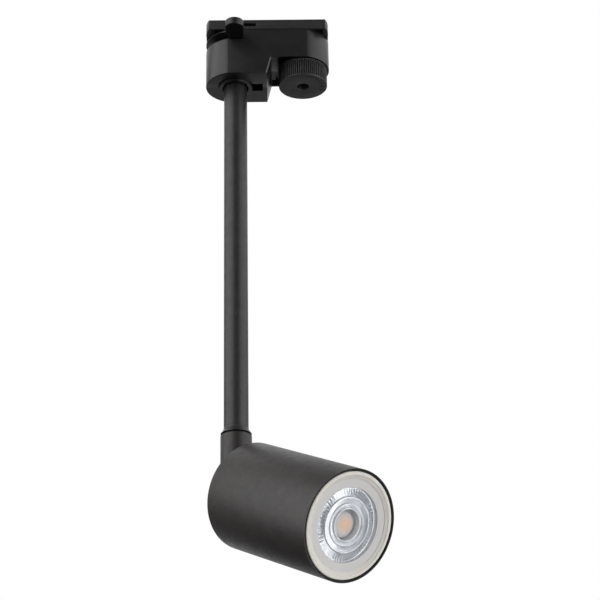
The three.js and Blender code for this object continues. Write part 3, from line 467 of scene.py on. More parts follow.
def lens_optics_material():
    """Bright, faintly blue optics seen through the lens's clear skin."""
    material, nodes, bsdf = new_material("lens_optics")
    mottle(nodes, bsdf, (0.83, 0.85, 0.89), object_noise(nodes, 260, 4.0), 0.14)
    uneven_gloss(nodes, bsdf, object_noise(nodes, 700), 0.04, 0.11)
    set_inputs(bsdf, {"Metallic": 0.4})
    grain(nodes, bsdf, 500, 0.00002)
    return material


# Size of the painted image of the chip on the inner lens.
CHIP_IMAGE_RADIUS = 0.0082  # metres from the head's axis


def lens_painted_chip_image_material():
    """Painted colour for the inner lens: orange in the middle, standing in for the chip seen through it, fading to
    pale grey at its edge.
    """
    material, nodes, bsdf = new_material("lens_painted_chip_image")
    place = add_node(nodes, "TexCoord")
    from_pivot = add_node(nodes, "VectorMath", {1: pivot}, operation="SUBTRACT")
    link(place, "Object", from_pivot, 0)
    off_axis = add_node(nodes, "VectorMath", {1: head_axis / CHIP_IMAGE_RADIUS}, operation="CROSS_PRODUCT")
    link(from_pivot, "Vector", off_axis, 0)
    distance = add_node(nodes, "VectorMath", operation="LENGTH")
    link(off_axis, "Vector", distance, 0)
    wander = object_noise(nodes, 350, 2.0)
    nudge = add_node(nodes, "Math", {1: 0.25}, operation="MULTIPLY_ADD")
    link(wander, "Fac", nudge, 0)
    link(distance, "Value", nudge, 2)
    chip_image_ramp = add_node(nodes, "ValToRGB")
    link(nudge, 0, chip_image_ramp, "Fac")
    ramp = chip_image_ramp.color_ramp
    ramp.elements[0].position = 0.40
    ramp.elements[0].color = (0.98, 0.62, 0.36, 1)
    ramp.elements[1].position = 0.95
    ramp.elements[1].color = (0.60, 0.63, 0.68, 1)
    middle = ramp.elements.new(0.65)
    middle.color = (0.90, 0.76, 0.68, 1)
    link(chip_image_ramp, "Color", bsdf, "Base Color")
    uneven_gloss(nodes, bsdf, wander, 0.25, 0.40)
    grain(nodes, bsdf, 600, 0.00001)
    return material


def frosted_material():
    """The etched flange round the lens: milky, half clear."""
    material, nodes, bsdf = new_material("frosted_acrylic")
    tint = object_noise(nodes, 200)
    mottle(nodes, bsdf, (0.90, 0.89, 0.88), tint, 0.015)
    uneven_gloss(nodes, bsdf, tint, 0.38, 0.50)
    set_inputs(bsdf, {"Transmission Weight": 0.25, "IOR": 1.49})
    grain(nodes, bsdf, 5000, 0.000004)
    return material


def phosphor_material():
    """Yellow-orange phosphor with a faint grid of the dies beneath it."""
    material, nodes, bsdf = new_material("phosphor")
    place = add_node(nodes, "TexCoord")
    cells = add_node(nodes, "TexVoronoi", {"Scale": 1400})
    link(place, "Object", cells, "Vector")
    orange, yellow = (0.95, 0.46, 0.07, 1), (0.85, 0.62, 0.18, 1)
    mix = add_node(nodes, "Mix", {6: orange, 7: yellow}, data_type="RGBA")
    link(cells, "Distance", mix, 0)
    link(mix, 2, bsdf, "Base Color")
    set_inputs(bsdf, {"Roughness": 0.35})
    grain(nodes, bsdf, 2500, 0.000008)
    return material


# A coated finish is given by its name, its colour, its lowest and highest roughness, how far the
# colour wanders, the grain's scale in cells per metre, and the grain's height in metres.
SLOT_MATERIALS = {
    "housing_plastic": coated("housing_plastic", (0.019, 0.0185, 0.019), (0.32, 0.4), 0.1, 3200, 0.00001),
    "lever_plastic": coated("lever_plastic", (0.013, 0.0127, 0.013), (0.38, 0.46), 0.08, 3200, 0.000008),
    "knob_plastic": coated("knob_plastic", (0.042, 0.041, 0.042), (0.44, 0.55), 0.1, 3600, 0.000012),
    "terminal_plastic": coated("terminal_nylon", (0.62, 0.58, 0.5), (0.4, 0.5), 0.04, 2200, 0.000008),
    "painted_steel": coated("stem_paint", (0.03, 0.029, 0.029), (0.36, 0.46), 0.16, 2600, 0.000045),
    "painted_aluminium": coated("head_paint", (0.035, 0.031, 0.03), (0.4, 0.5), 0.12, 2400, 0.00003),
    "zinc_steel": brushed("zinc_plate", (0.62, 0.63, 0.64), (0.22, 0.38)),
    "brass": brushed("brass", (0.72, 0.50, 0.20), (0.22, 0.36)),
    "washer_nylon": coated("washer_nylon", (0.006, 0.006, 0.006), (0.5, 0.6), 0.1, 2500, 0.000006),
    "ceramic": coated("ceramic", (0.78, 0.75, 0.68), (0.18, 0.30), 0.03, 900, 0.00001),
    "lamp_plastic": lamp_plastic_material(),
    "lens_plastic": clear_material(),
    "led_board": coated("board_white", (0.80, 0.80, 0.77), (0.25, 0.35), 0.02, 1500, 0.000004),
    "phosphor": phosphor_material(),
    "circuit_board": coated("board_green", (0.03, 0.16, 0.07), (0.25, 0.35), 0.1, 1500, 0.000006),
}
WIRE_COLORS = {"live": (0.19, 0.07, 0.03), "neutral": (0.03, 0.09, 0.33), "earth": (0.20, 0.36, 0.05)}
for wire, wire_color in WIRE_COLORS.items():
    insulation = wire + "_insulation"
    SLOT_MATERIALS[insulation] = coated(insulation, wire_color, (0.35, 0.45), 0.06, 1500, 0.000006)

# Finishes for single pieces, in place of their slot's own.
plate_plastic = coated("plate_plastic", (0.034, 0.033, 0.034), (0.36, 0.44), 0.1, 3200, 0.00001)
# Near-black matte finish for the ring round the head's mouth: painted shade, darker than the head's own paint.
rim_painted_shade = coated("rim_painted_shade", (0.008, 0.007, 0.007), (0.60, 0.72), 0.12, 2400, 0.000016, specular=0.2)
black_steel = coated("black_steel", (0.006, 0.006, 0.006), (0.45, 0.6), 0.1, 2500, 0.000006)
frosted_acrylic = frosted_material()
lens_optics = lens_optics_material()
# Painted colour on the inner lens, standing in for the chip seen through it.
lens_painted_chip_image = lens_painted_chip_image_material()


def finish_carried_nodes():
    """Gives each CAD node that stays the finish of its slot."""
    for part in frame["record"]["subparts"]:
        node = frame["nodes"][part["node"]]
        node.data.materials.clear()
        node.data.materials.append(SLOT_MATERIALS[part["material_slot"]])
        node.data.shade_smooth()
        node.data.set_sharp_from_angle(angle=math.radians(30))


# ---- adapter housing and plate

BLOCK_RIGHT_TOP = 2.2
BLOCK_RIGHT_BOTTOM = -0.3
BLOCK_SLOPE = (BLOCK_RIGHT_TOP - BLOCK_RIGHT_BOTTOM) / (BODY_BOTTOM - BLOCK_BOTTOM)
PLATE_SCREW = (1.0, 10.6)
HOUSING_SCREWS = {
    "housing_screw_left": (-30.2, -17.0),
    "housing_screw_middle": (-5.0, -27.6),
    "housing_screw_right": (30.6, -15.0),
}
SCREW_SEAT = 7.6
PILOT_END = -7.2  # how far forward the housing screws' holes reach
EARTH_SLOT = (5.7, 11.3, -11.5, -9.7)
KEY_SLOT_REACH = 15.1
KEY_SLOT_HALF = 3.75
LEFT_ROOM_END = 4.2  # the two rooms meet where they overlap
RIGHT_ROOM_START = -2.2
RECESS_LEFT = 5.65
RECESS_WALL = 0.9
CONTACT_SHAFT_HOLE = 4.6
BOSS_RADIUS = 2.7
COUNTERBORE = 2.6
PLATE_PILOT_END = -12
EDGE = 0.28  # rounding of moulded edges
BLOCK_CHAMFER = 0.7
STRIP_POCKETS = [  # hollows under the body between block and knob, and depths
    ((2.4, 5.6, 8.7, 15.0), 3.0),
    ((4.4, 5.6, 2.5, 9.0), 2.6),
]


def body_outline(inset, steps=56):
    """The housing's plan: round ends, with the flat faces cut a little inside them."""
    radius = END_RADIUS - inset
    crease = math.degrees(math.asin((BODY_HALF_DEPTH - inset) / radius))
    left = arc((STEM_X, 0), radius, 180 - crease, 180 + crease, steps)
    right = arc((RIGHT_X, 0), radius, -crease, crease, steps)
    return left + right


def block_side(inset, bottom, top):
    """The left block's outline seen from the front, with its slanted right face."""
    right = [(BLOCK_RIGHT_BOTTOM + BLOCK_SLOPE * (z - BLOCK_BOTTOM) - inset, z) for z in (bottom, top)]
    return [(-FAR, bottom), right[0], right[1], (-FAR, top)]


def block(inset, bottom, top):
    return keep_inside(
        prism(body_outline(inset), bottom, top),
        side_prism(block_side(inset, bottom, top), -FAR, FAR),
    )


def block_edge_chamfer():
    """A thin tool that flattens the sharp front edge of the block's slanted face."""
    half = BLOCK_CHAMFER / math.sqrt(2)
    tool = box(-half, half, -half, half, -1, BODY_BOTTOM - BLOCK_BOTTOM)
    tool.data.transform(Matrix.Rotation(math.radians(45), 4, "Z"))
    lean = Matrix.Identity(4)
    lean[0][2] = BLOCK_SLOPE
    edge = Matrix.Translation((BLOCK_RIGHT_BOTTOM, -BODY_HALF_DEPTH, BLOCK_BOTTOM))
    tool.data.transform(edge @ lean)
    return tool


def sector(inner, outer, start, end, bottom, top, centre=(0, 0), steps=64):
    """A stretch of a flat ring between two angles, in degrees."""
    outline = arc(centre, outer, start, end, steps) + arc(centre, inner, end, start, steps)
    return prism(outline, bottom, top)


def housing():
    """The whole housing, hollow, before it is split into its two halves."""
    shell = fuse(
        prism(body_outline(0), BODY_BOTTOM, BODY_TOP),
        block(0, BLOCK_BOTTOM, BODY_BOTTOM + 1),
    )
    left_room = keep_inside(
        prism(body_outline(WALL), BODY_BOTTOM + 1, SHELF_BOTTOM),
        box(-FAR, LEFT_ROOM_END, -FAR, FAR, -FAR, 0),
    )
    right_room = keep_inside(
        prism(body_outline(WALL), BODY_BOTTOM + 3.8, GROOVE_TOP),
        box(RIGHT_ROOM_START, FAR, -FAR, FAR, -FAR, 0),
    )
    knob_recess = keep_inside(
        prism(body_outline(RECESS_WALL), BODY_BOTTOM - 1, BODY_BOTTOM + 2.4),
        box(RECESS_LEFT, FAR, -FAR, FAR, -FAR, 0),
    )
    carve(
        shell,
        cylinder(LEVER_CHAMBER, GROOVE_BOTTOM, GROOVE_TOP, STEM_X),
        sector(LEVER_CHAMBER - 1, FAR / 2, 75, 285, GROOVE_BOTTOM, GROOVE_TOP, (STEM_X, 0)),
        cylinder(HUB_HOLE, GROOVE_TOP - 1, 0, STEM_X),
        left_room,
        right_room,
        block(WALL, BLOCK_BOTTOM + 1.5, BODY_BOTTOM - 0.5),
        cylinder(STEM_BORE, BODY_BOTTOM - 1, BODY_BOTTOM + 2, STEM_X),
        cylinder(STEM_HOLE, BLOCK_BOTTOM - 1, BLOCK_BOTTOM + 2, STEM_X),
        box(STEM_X, STEM_X + KEY_SLOT_REACH, -KEY_SLOT_HALF, KEY_SLOT_HALF, -FAR, BLOCK_BOTTOM + 2),
        knob_recess,
        cylinder(CONTACT_SHAFT_HOLE, BODY_BOTTOM + 1, BODY_BOTTOM + 5, KNOB_X),
        cylinder(CARRIER_HOLE, GROOVE_TOP - 1, 0, KNOB_X),
        box(*EARTH_SLOT, GROOVE_TOP - 1, 0),
        *[box(*pocket, BODY_BOTTOM - 1, BODY_BOTTOM + depth) for pocket, depth in STRIP_POCKETS],
        block_edge_chamfer(),
    )
    for x, z in HOUSING_SCREWS.values():
        boss = cross_cylinder(BOSS_RADIUS, -FAR, FAR, x, z, 32)
        inside = prism(body_outline(WALL / 2), BLOCK_BOTTOM + 0.5, GROOVE_TOP)
        fuse(shell, keep_inside(boss, inside))
        carve(
            shell,
            cross_cylinder(SCREW_HOLE, PILOT_END, FAR, x, z, 24),
            cross_cylinder(COUNTERBORE, SCREW_SEAT, FAR, x, z, 48),
        )
    for side in (-1, 1):
        x, y = PLATE_SCREW[0], side * PLATE_SCREW[1]
        fuse(shell, cylinder(BOSS_RADIUS, PLATE_PILOT_END - 0.5, GROOVE_TOP + 0.5, x, y, 32))
        carve(shell, cylinder(SCREW_HOLE, PLATE_PILOT_END, 0, x, y, 24))
    return shell


HALF_SEAM = 0.06  # from each half to the middle of the parting line


def housing_half(whole, side):
    """The front half for side -1, the back half for side 1."""
    half = whole.copy()
    half.data = whole.data.copy()
    bpy.context.collection.objects.link(half)
    near, far = sorted((-side * FAR, side * HALF_SEAM))
    carve(half, box(-FAR, FAR, near, far, -FAR, 0))
    return soften(half, EDGE * 0.8)


def build_housing():
    whole = housing()
    for name, side in (("housing_front", -1), ("housing_back", 1)):
        half = housing_half(whole, side)
        settle(half, name + "_shell", ADAPTER, "adapter", "housing_plastic", [name])
    bpy.data.objects.remove(whole)


PLATE_CORNER_RUN = 1.75  # each corner's arc, along the plate and across it
PLATE_CORNER_DEPTH = 7.0
PLATE_SCREW_HOLE = 1.7
PLATE_SCREW_SEAT = 3
FRONT_SLOT_X = (-12.7, -6.2)
FRONT_SLOT_Z = (-4, -2.1)
FRONT_SLOT_DEPTH = 3
LEFT_POCKET_END = -28.8
RIGHT_POCKET_END = 30.8
POCKET_INNER = 6.0
POCKET_DEPTH = 3.4
POCKET_WALL = 1.2


def plate_outline():
    """A rectangle whose corners are shallow arcs that meet the long sides at a crease."""
    run, depth = PLATE_CORNER_RUN, PLATE_CORNER_DEPTH
    radius = (run ** 2 + depth ** 2) / (2 * run)
    sweep = math.degrees(math.asin(depth / radius))
    x = PLATE_HALF_LENGTH - radius
    y = PLATE_HALF_DEPTH - depth
    return (
        arc((x, y), radius, 0, sweep, 12)
        + arc((-x, y), radius, 180 - sweep, 180, 12)
        + arc((-x, -y), radius, 180, 180 + sweep, 12)
        + arc((x, -y), radius, -sweep, 0, 12)
    )


def corner_pocket(end_x, outer_x, side):
    """An open pocket under the plate, outside the housing's round end."""
    top = PLATE_BOTTOM + POCKET_DEPTH
    near, far = sorted((end_x, outer_x))
    low, high = sorted((side * POCKET_INNER, side * (PLATE_HALF_DEPTH - POCKET_WALL)))
    pocket = box(near, far, low, high, PLATE_BOTTOM - 1, top)
    return carve(pocket, cylinder(END_RADIUS - 0.7, PLATE_BOTTOM - 2, top + 1, end_x))


def build_plate():
    plate = prism(plate_outline(), BODY_TOP + 0.04, 0)
    tools = [
        cylinder(HUB_HOLE, PLATE_BOTTOM - 1, 1, STEM_X),
        cylinder(CARRIER_HOLE, PLATE_BOTTOM - 1, 1, KNOB_X),
        box(*FRONT_SLOT_X, -FAR, -PLATE_HALF_DEPTH + FRONT_SLOT_DEPTH, *FRONT_SLOT_Z),
        box(*EARTH_SLOT, PLATE_BOTTOM - 1, 1),
    ]
    for side in (-1, 1):
        x, y = PLATE_SCREW[0], side * PLATE_SCREW[1]
        tools += [
            cylinder(PLATE_SCREW_HOLE, PLATE_BOTTOM - 1, 1, x, y, 32),
            cylinder(PLATE_SCREW_SEAT, -2, 1, x, y, 48),
            corner_pocket(STEM_X, LEFT_POCKET_END, side),
            corner_pocket(RIGHT_X, RIGHT_POCKET_END, side),
        ]
    carve(plate, *tools)
    soften(plate, EDGE)
    settle(plate, "plate", ADAPTER, "adapter", "housing_plastic", ["base_plate"], plate_plastic)


BUSHING_DROP = 0.9  # how far it stands out under the block


def build_bushing():
    """The collar that lines the stem's hole, wider at its mouth."""
    top = high_mm("stem_bushing").z
    outer = STEM_HOLE - 0.2
    bottom = BLOCK_BOTTOM - BUSHING_DROP
    inner = STEM_RADIUS + 0.8
    profile = rounded([
        (inner, bottom, 0.1), (outer, bottom, 0.12), (outer, top),
        (STEM_RADIUS + 0.1, top), (STEM_RADIUS + 0.1, bottom + 4.5), (inner, bottom + 4.5),
    ])
    bushing = revolve(profile)
    settle(bushing, "bushing", STEM, "adapter", "housing_plastic", ["stem_bushing"])


# ---- lock lever and wing

LEVER_TOP = GROOVE_TOP - 0.4
LEVER_BOTTOM = GROOVE_BOTTOM + 0.4
TAB_CENTRE = 26.2
TAB_RADIUS = 5.0
TAB_SHOULDER = 20.5
TAB_NECK = 3.45
LEVER_DISC = 11.5
HUB_RADIUS = 5.2
LOCK_SCREW_HOLE = 1.8
WING_BOTTOM = 0.9
WING_TOP = 5.2
WING_HUB = 4.6
WING_ARMS = (5.4, 3.5)  # reach of each arm to its end's centre, radius of the end
WING_SEAT = 3


def tab_outline():
    """A round finger tab on a narrower neck, with a small fillet where they meet."""
    side = rounded([(TAB_NECK, -8), (TAB_NECK, -TAB_SHOULDER, 0.5), (TAB_RADIUS, -TAB_SHOULDER, 0.5),
                    (TAB_RADIUS, -TAB_CENTRE)])
    right = [point for point in side if point.y > -TAB_CENTRE + 0.01]
    left = [Vector((-point.x, point.y)) for point in reversed(right)]
    return right + arc((0, -TAB_CENTRE), TAB_RADIUS, 0, -180, 48) + left


def build_lever():
    lever = fuse(
        cylinder(LEVER_DISC, LEVER_BOTTOM, LEVER_TOP),
        prism(tab_outline(), LEVER_BOTTOM, LEVER_TOP),
        cylinder(HUB_RADIUS, LEVER_TOP - 1, WING_BOTTOM - GAP),
    )
    carve(lever, cylinder(LOCK_SCREW_HOLE, -6, FAR, segments=32))
    soften(lever, 0.25)
    settle(lever, "lever", STEM, "lock", "lever_plastic", ["lock_lever"])


def stadium(reach, radius, steps=32):
    """An outline with two straight sides and two half-round ends."""
    return arc((reach, 0), radius, -90, 90, steps) + arc((-reach, 0), radius, 90, 270, steps)


def build_wing():
    wing = fuse(
        cylinder(WING_HUB, WING_BOTTOM, WING_TOP - 1),
        prism(stadium(*WING_ARMS), WING_TOP - 2, WING_TOP),
    )
    carve(
        wing,
        cylinder(LOCK_SCREW_HOLE, 0, FAR, segments=32),
        cylinder(WING_SEAT, WING_TOP - 1.8, FAR, segments=48),
    )
    soften(wing, 0.3)
    settle(wing, "wing", STEM, "lock", "lever_plastic", ["lock_wing"])


# ---- contact knob and carrier

KNOB_RADIUS = 13.35
KNOB_BOTTOM = -33.4
KNOB_TOP = -22.1
KNOB_HOLE = 3.3
KNOB_SOCKET = -26.0
KNOB_WALL = 1.6
KNOB_LIP = 0.25
KNOB_FLOOR = -31.4
KNOB_POST = (4.3, 5.8)  # inner and outer radius, round the carrier's shaft
KNOB_SCREW_HOLE = 1.6
RIBS = 68
RIB_DEPTH = 0.95
CARRIER_BOTTOM = -25.7
CARRIER_SHAFT = 4
CARRIER_NECK = 7.2
CARRIER_HEAD = (2.6, 4.2)  # as for the wing's arms
CARRIER_TOP = 6.6
STRIP_SLOT = (4.15, 5.35)  # from the carrier's axis, for a contact's upright strip
STRIP_SLOT_HALF = 1.8
BLADES = ((1, 4.0, 4.6), (-1, 1.9, 2.5))  # side, bottom and top of each contact's blade


def rib_radius(point, turn):
    """Fine ribs on the knob's side, fading out at both ends of the ribbed band."""
    radius, z = point
    if radius < KNOB_RADIUS - 0.05:
        return radius
    band = min(z - (KNOB_BOTTOM + 0.5), KNOB_TOP - 1.5 - z) / 0.5
    if band <= 0:
        return radius
    wave = 0.5 - 0.5 * math.cos(RIBS * turn)
    return radius - RIB_DEPTH * min(1, band) * wave ** 1.3


def knob_marks():
    """Generic marks sunk into the knob's underside: a curved arrow and three short bars."""
    floor = KNOB_BOTTOM - 1
    ceiling = KNOB_BOTTOM + 0.25
    arrow = sector(10.7, 11.25, -77, -32, floor, ceiling, steps=24)
    tip = prism([(0.0, 0.8), (0.0, -0.8), (1.5, 0.0)], floor, ceiling)
    tip.data.transform(Matrix.Rotation(math.radians(-77), 4, "Z") @ Matrix.Translation((10.97, 0, 0))
                       @ Matrix.Rotation(math.radians(-90), 4, "Z"))
    bars = []
    for turn in (-17, 0, 17):
        bar = box(9.3, 11.2, -0.35, 0.35, floor, ceiling)
        bar.data.transform(Matrix.Rotation(math.radians(turn), 4, "Z"))
        bars.append(bar)
    return [arrow, tip, *bars]


def build_knob():
    inner = KNOB_RADIUS - KNOB_WALL
    lip = KNOB_RADIUS + KNOB_LIP
    bore, post = KNOB_POST
    profile = rounded([
        (KNOB_HOLE, KNOB_BOTTOM, 0.25), (KNOB_RADIUS, KNOB_BOTTOM, 0.55),
        (KNOB_RADIUS, KNOB_BOTTOM + 0.55), (KNOB_RADIUS, KNOB_BOTTOM + 1.1),
        (KNOB_RADIUS, KNOB_TOP - 2.1), (KNOB_RADIUS, KNOB_TOP - 1.45),
        (lip, KNOB_TOP - 1.3, 0.1), (lip, KNOB_TOP, 0.3),
        (inner, KNOB_TOP), (inner, KNOB_FLOOR), (post, KNOB_FLOOR), (post, KNOB_TOP),
        (bore, KNOB_TOP), (bore, KNOB_SOCKET), (KNOB_SCREW_HOLE, KNOB_SOCKET),
        (KNOB_SCREW_HOLE, KNOB_SOCKET - 2), (KNOB_HOLE, KNOB_SOCKET - 2),
    ])
    knob = revolve(profile, RIBS * 8, rib_radius)
    carve(knob, *knob_marks())
    settle(knob, "knob", KNOB, "contacts", "knob_plastic", ["contact_knob"])


def build_carrier():
    carrier = fuse(
        cylinder(CARRIER_SHAFT, CARRIER_BOTTOM, -8),
        cylinder(CARRIER_HOLE + 1, -9.2, GROOVE_TOP - GAP),
        cylinder(CARRIER_NECK, -8.5, 1),
        prism(stadium(*CARRIER_HEAD), 0.5, CARRIER_TOP),
    )
    slots = []
    half = STRIP_SLOT_HALF
    for side, bottom, top in BLADES:
        near, far = sorted((side * STRIP_SLOT[0], side * STRIP_SLOT[1]))
        inside, outside = sorted((side * STRIP_SLOT[0], side * FAR))
        slots.append(box(near, far, -half, half, -10, top + GAP))
        slots.append(box(inside, outside, -half, half, bottom - GAP, top + GAP))
    carve(carrier, *slots, cylinder(1.3, CARRIER_BOTTOM - 1.3, CARRIER_BOTTOM + 8, segments=24))
    soften(carrier, 0.25)
    settle(carrier, "carrier", KNOB, "contacts", "lever_plastic", ["contact_carrier"])


# ---- stem, ferrule, washer and collar

def build_stem():
    low, high = low_mm("stem_tube").z, high_mm("stem_tube").z
    profile = rounded([
        (STEM_BORE, low), (STEM_RADIUS, low, 0.1), (STEM_RADIUS, high, 0.3), (STEM_BORE, high),
    ])
    tube = revolve(profile, 96)
    settle(tube, "tube", STEM, "adapter", "painted_steel", ["stem_tube"])


FLARE_STEPS = 16
WASHER_RADIUS = 7.1
PLUG_RADIUS = 4.9  # the part of the ferrule inside the tube


def build_ferrule():
    """The flared end of the stem."""
    bottom = low_mm("stem_ferrule").z
    flare_top = low_mm("stem_tube").z - 0.05
    foot = COLLAR_RADIUS - 0.1
    growth = foot - STEM_RADIUS
    drop = bottom + 0.4 - flare_top
    flare = []
    for step in range(FLARE_STEPS + 1):
        t = 1 - step / FLARE_STEPS
        flare.append((STEM_RADIUS + growth * t ** 2.2, flare_top + drop * t))
    plug_top = high_mm("stem_ferrule").z
    profile = [
        (BOLT_HOLE, bottom), (foot - 0.12, bottom), (foot, bottom + 0.12), *flare,
        (PLUG_RADIUS, flare_top), (PLUG_RADIUS, plug_top), (BOLT_HOLE, plug_top),
    ]
    ferrule = revolve(profile, 96)
    settle(ferrule, "ferrule", STEM, "adapter", "painted_steel", ["stem_ferrule"])


def build_washer():
    low, high = low_mm("swivel_washer").z, high_mm("swivel_washer").z
    outer = WASHER_RADIUS
    profile = rounded([(BOLT_HOLE, low), (outer, low, 0.1), (outer, high, 0.1), (BOLT_HOLE, high)])
    washer = revolve(profile, 96)
    settle(washer, "washer", STEM, "swivel", "washer_nylon", ["swivel_washer"])


SHOULDER = 8.4  # each knuckle half clears the other's round end
HOLLOW_DEPTH = 4.4
HOLLOW_RADIUS = 5.8
POST_RADIUS = 3.2
PIVOT_HOLE = 1.9
NUT_SEAT = 5.5
KNUCKLE_FRONT = HEAD_REAR + 0.3
KNUCKLE_SCREW_X = 5.6
WIRE_SLOT_HALF = 2.5
KNUCKLE_EDGE = 0.22


def knuckle_blank(length):
    """A round bar along Z whose foot is rounded about the tilt axis."""
    reach = COLLAR_RADIUS + 1
    profile = rounded([
        (0, -reach), (COLLAR_RADIUS, -reach), (COLLAR_RADIUS, length, 0.35), (0, length),
    ])
    foot = arc((0, 0), COLLAR_RADIUS, -180, 0, 64)
    foot += [(reach, 0), (reach, length + 1), (-reach, length + 1), (-reach, 0)]
    return keep_inside(revolve(profile, 128), side_prism(foot, -reach, reach))


def knuckle_hollow(side):
    """Room for the wires inside one half of the joint, round a post for the pivot screw."""
    y0, y1 = (-1, HOLLOW_DEPTH) if side > 0 else (-HOLLOW_DEPTH, 1)
    post = cross_cylinder(POST_RADIUS, -FAR, FAR, segments=48)
    return carve(cross_cylinder(HOLLOW_RADIUS, y0, y1), post)


def hexagon(across, bottom, top):
    return prism(arc((0, 0), across / math.sqrt(3), 0, 300, 5), bottom, top)


def lay_along_y(obj, y):
    """Turns a shape made along Z so that it points along +Y, and starts it at y."""
    obj.data.transform(Matrix.Translation((0, y, 0)) @ Matrix.Rotation(-math.pi / 2, 4, "X"))
    return obj


def build_collar():
    reach = COLLAR_RADIUS + 1
    top = (high_mm("swivel_collar").z * MM - pivot.z) / MM
    collar = knuckle_blank(top)
    carve(
        collar,
        box(-reach, reach, -reach, GAP / 4, -reach, SHOULDER),
        knuckle_hollow(1),
        cylinder(BOLT_HOLE, top - 6, top + 1, segments=64),
        cylinder(5.6, 12, top - 4.05, segments=64),
        box(-WIRE_SLOT_HALF, WIRE_SLOT_HALF, 0, HOLLOW_DEPTH, 4, 13),
        cross_cylinder(PIVOT_HOLE, -reach, reach, segments=32),
        lay_along_y(hexagon(6.4, 0, reach), NUT_SEAT),
    )
    soften(collar, KNUCKLE_EDGE)
    settle(collar, "collar", SWIVEL, "swivel", "painted_aluminium", ["swivel_collar"])


def build_knuckle():
    reach = COLLAR_RADIUS + 1
    knuckle = knuckle_blank(KNUCKLE_FRONT)
    carve(
        knuckle,
        box(-reach, reach, -GAP / 4, reach, -reach, SHOULDER),
        knuckle_hollow(-1),
        box(-WIRE_SLOT_HALF, WIRE_SLOT_HALF, -HOLLOW_DEPTH, 0, 4, SHOULDER + 1),
        cylinder(WIRE_BORE, SHOULDER - 1, KNUCKLE_FRONT + 1, segments=64),
        cross_cylinder(PIVOT_HOLE, -reach, reach, segments=32),
        cross_cylinder(3.6, -reach, -5.7, segments=64),
        cylinder(SCREW_HOLE, SHOULDER + 0.6, KNUCKLE_FRONT + 1, KNUCKLE_SCREW_X, 0, 24),
        cylinder(SCREW_HOLE, SHOULDER + 0.6, KNUCKLE_FRONT + 1, -KNUCKLE_SCREW_X, 0, 24),
    )
    soften(knuckle, KNUCKLE_EDGE)
    settle(knuckle, "knuckle", HEAD, "head", "painted_aluminium", ["tilt_knuckle"])


# ---- head and lamp

def build_head_housing():
    """The head's tube, and a ring round its mouth whose darker colour is painted shade."""
    rim_back = HEAD_FRONT - 1.2
    rim_outer = HEAD_RADIUS - 0.2
    profile = rounded([
        (HEAD_BORE, HEAD_REAR, 0.15), (HEAD_RADIUS, HEAD_REAR, 0.45), (HEAD_RADIUS, HEAD_FRONT, 0.15),
        (rim_outer, HEAD_FRONT), (rim_outer, rim_back), (HEAD_BORE, rim_back),
    ])
    head = revolve(profile, 256)
    settle(head, "head_tube", HEAD, "head", "painted_aluminium", ["head_housing"])
    # The ring's near-black colour is painted shade on the head's front edge.
    edge = rounded([(HEAD_BORE, rim_back), (rim_outer, rim_back), (rim_outer, HEAD_FRONT - 0.02),
                    (HEAD_BORE, HEAD_FRONT - 0.02, 0.3)])
    rim = revolve(edge, 256)
    settle(rim, "head_rim", HEAD, "head", "painted_aluminium", material=rim_painted_shade)


BRACKET_SCREW_Y = 13


def build_rear_cap():
    rear = KNUCKLE_FRONT + GAP
    inside = rear + 2.6
    outer = HEAD_BORE - 0.08
    profile = rounded([
        (0, rear), (outer, rear, 0.3), (outer, inside + 6, 0.3), (outer - 1.5, inside + 6, 0.2),
        (outer - 1.5, inside, 0.4), (0, inside),
    ])
    cap = revolve(profile, 192)
    holes = [cylinder(WIRE_BORE, rear - 1, inside + 1, segments=48)]
    for side in (-1, 1):
        holes.append(cylinder(SCREW_HOLE, rear - 1, inside + 1, side * KNUCKLE_SCREW_X, 0, 24))
    for side in (-1, 1):
        holes.append(cylinder(SCREW_HOLE, rear + 0.6, inside + 1, 0, side * BRACKET_SCREW_Y, 24))
    carve(cap, *holes)
    settle(cap, "cap", HEAD, "head", "painted_aluminium", ["rear_cap"])


def build_lamp_ring():
    """The lamp's smooth front rim, which slopes gently in to the lens."""
    back = LAMP_FRONT - 2.9
    profile = rounded([
        (22.0, back), (LAMP_RADIUS, back, 0.2), (LAMP_RADIUS, LAMP_FRONT, 0.7),
        (24.0, LAMP_FRONT, 0.5), (23.4, LAMP_FRONT - 0.35, 0.5), (22.0, LAMP_FRONT - 0.9, 0.2),
    ], 8)
    ring = revolve(profile, 192)
    settle(ring, "lamp_ring", HEAD, "lamp", "lamp_plastic", ["lamp_front_ring"])


LENS_FACE = LAMP_FRONT - 1.1
FLANGE_BACK = LENS_FACE - 2.2
LENS_FOOT = 71.6
CLEAR_RADIUS = 17.8
FLANGE_RADIUS = 22.1
CHIP_BASE = 71.1
CHIP_RADIUS = 3.25
DAM_RADIUS = 4.2
FLUTES = 60  # radial facets round the lens's outer zone
FLUTE_START = 13.2
FLUTE_TURN = math.radians(30)  # facets are deepest here and at each third of a turn on


def build_flange():
    """The frosted ring between the lamp's rim and its clear lens."""
    profile = rounded([
        (CLEAR_RADIUS, FLANGE_BACK), (FLANGE_RADIUS, FLANGE_BACK),
        (FLANGE_RADIUS, LENS_FACE), (CLEAR_RADIUS, LENS_FACE, 0.1),
    ])
    flange = revolve(profile, 192)
    settle(flange, "lens_flange", HEAD, "lamp", "lens_plastic", material=frosted_acrylic)


def fluted_depth(point, turn):
    """How far the radial facets sink the outer zone of the lens."""
    inwards = min(1, max(0, (point[0] - FLUTE_START) / 1.5))
    outwards = min(1, max(0, (CLEAR_RADIUS - 0.2 - point[0]) / 0.6))
    strength = 0.10 + 1.00 * math.cos(1.5 * (turn - FLUTE_TURN)) ** 2
    return strength * inwards * outwards * abs(math.sin(FLUTES * turn / 2))


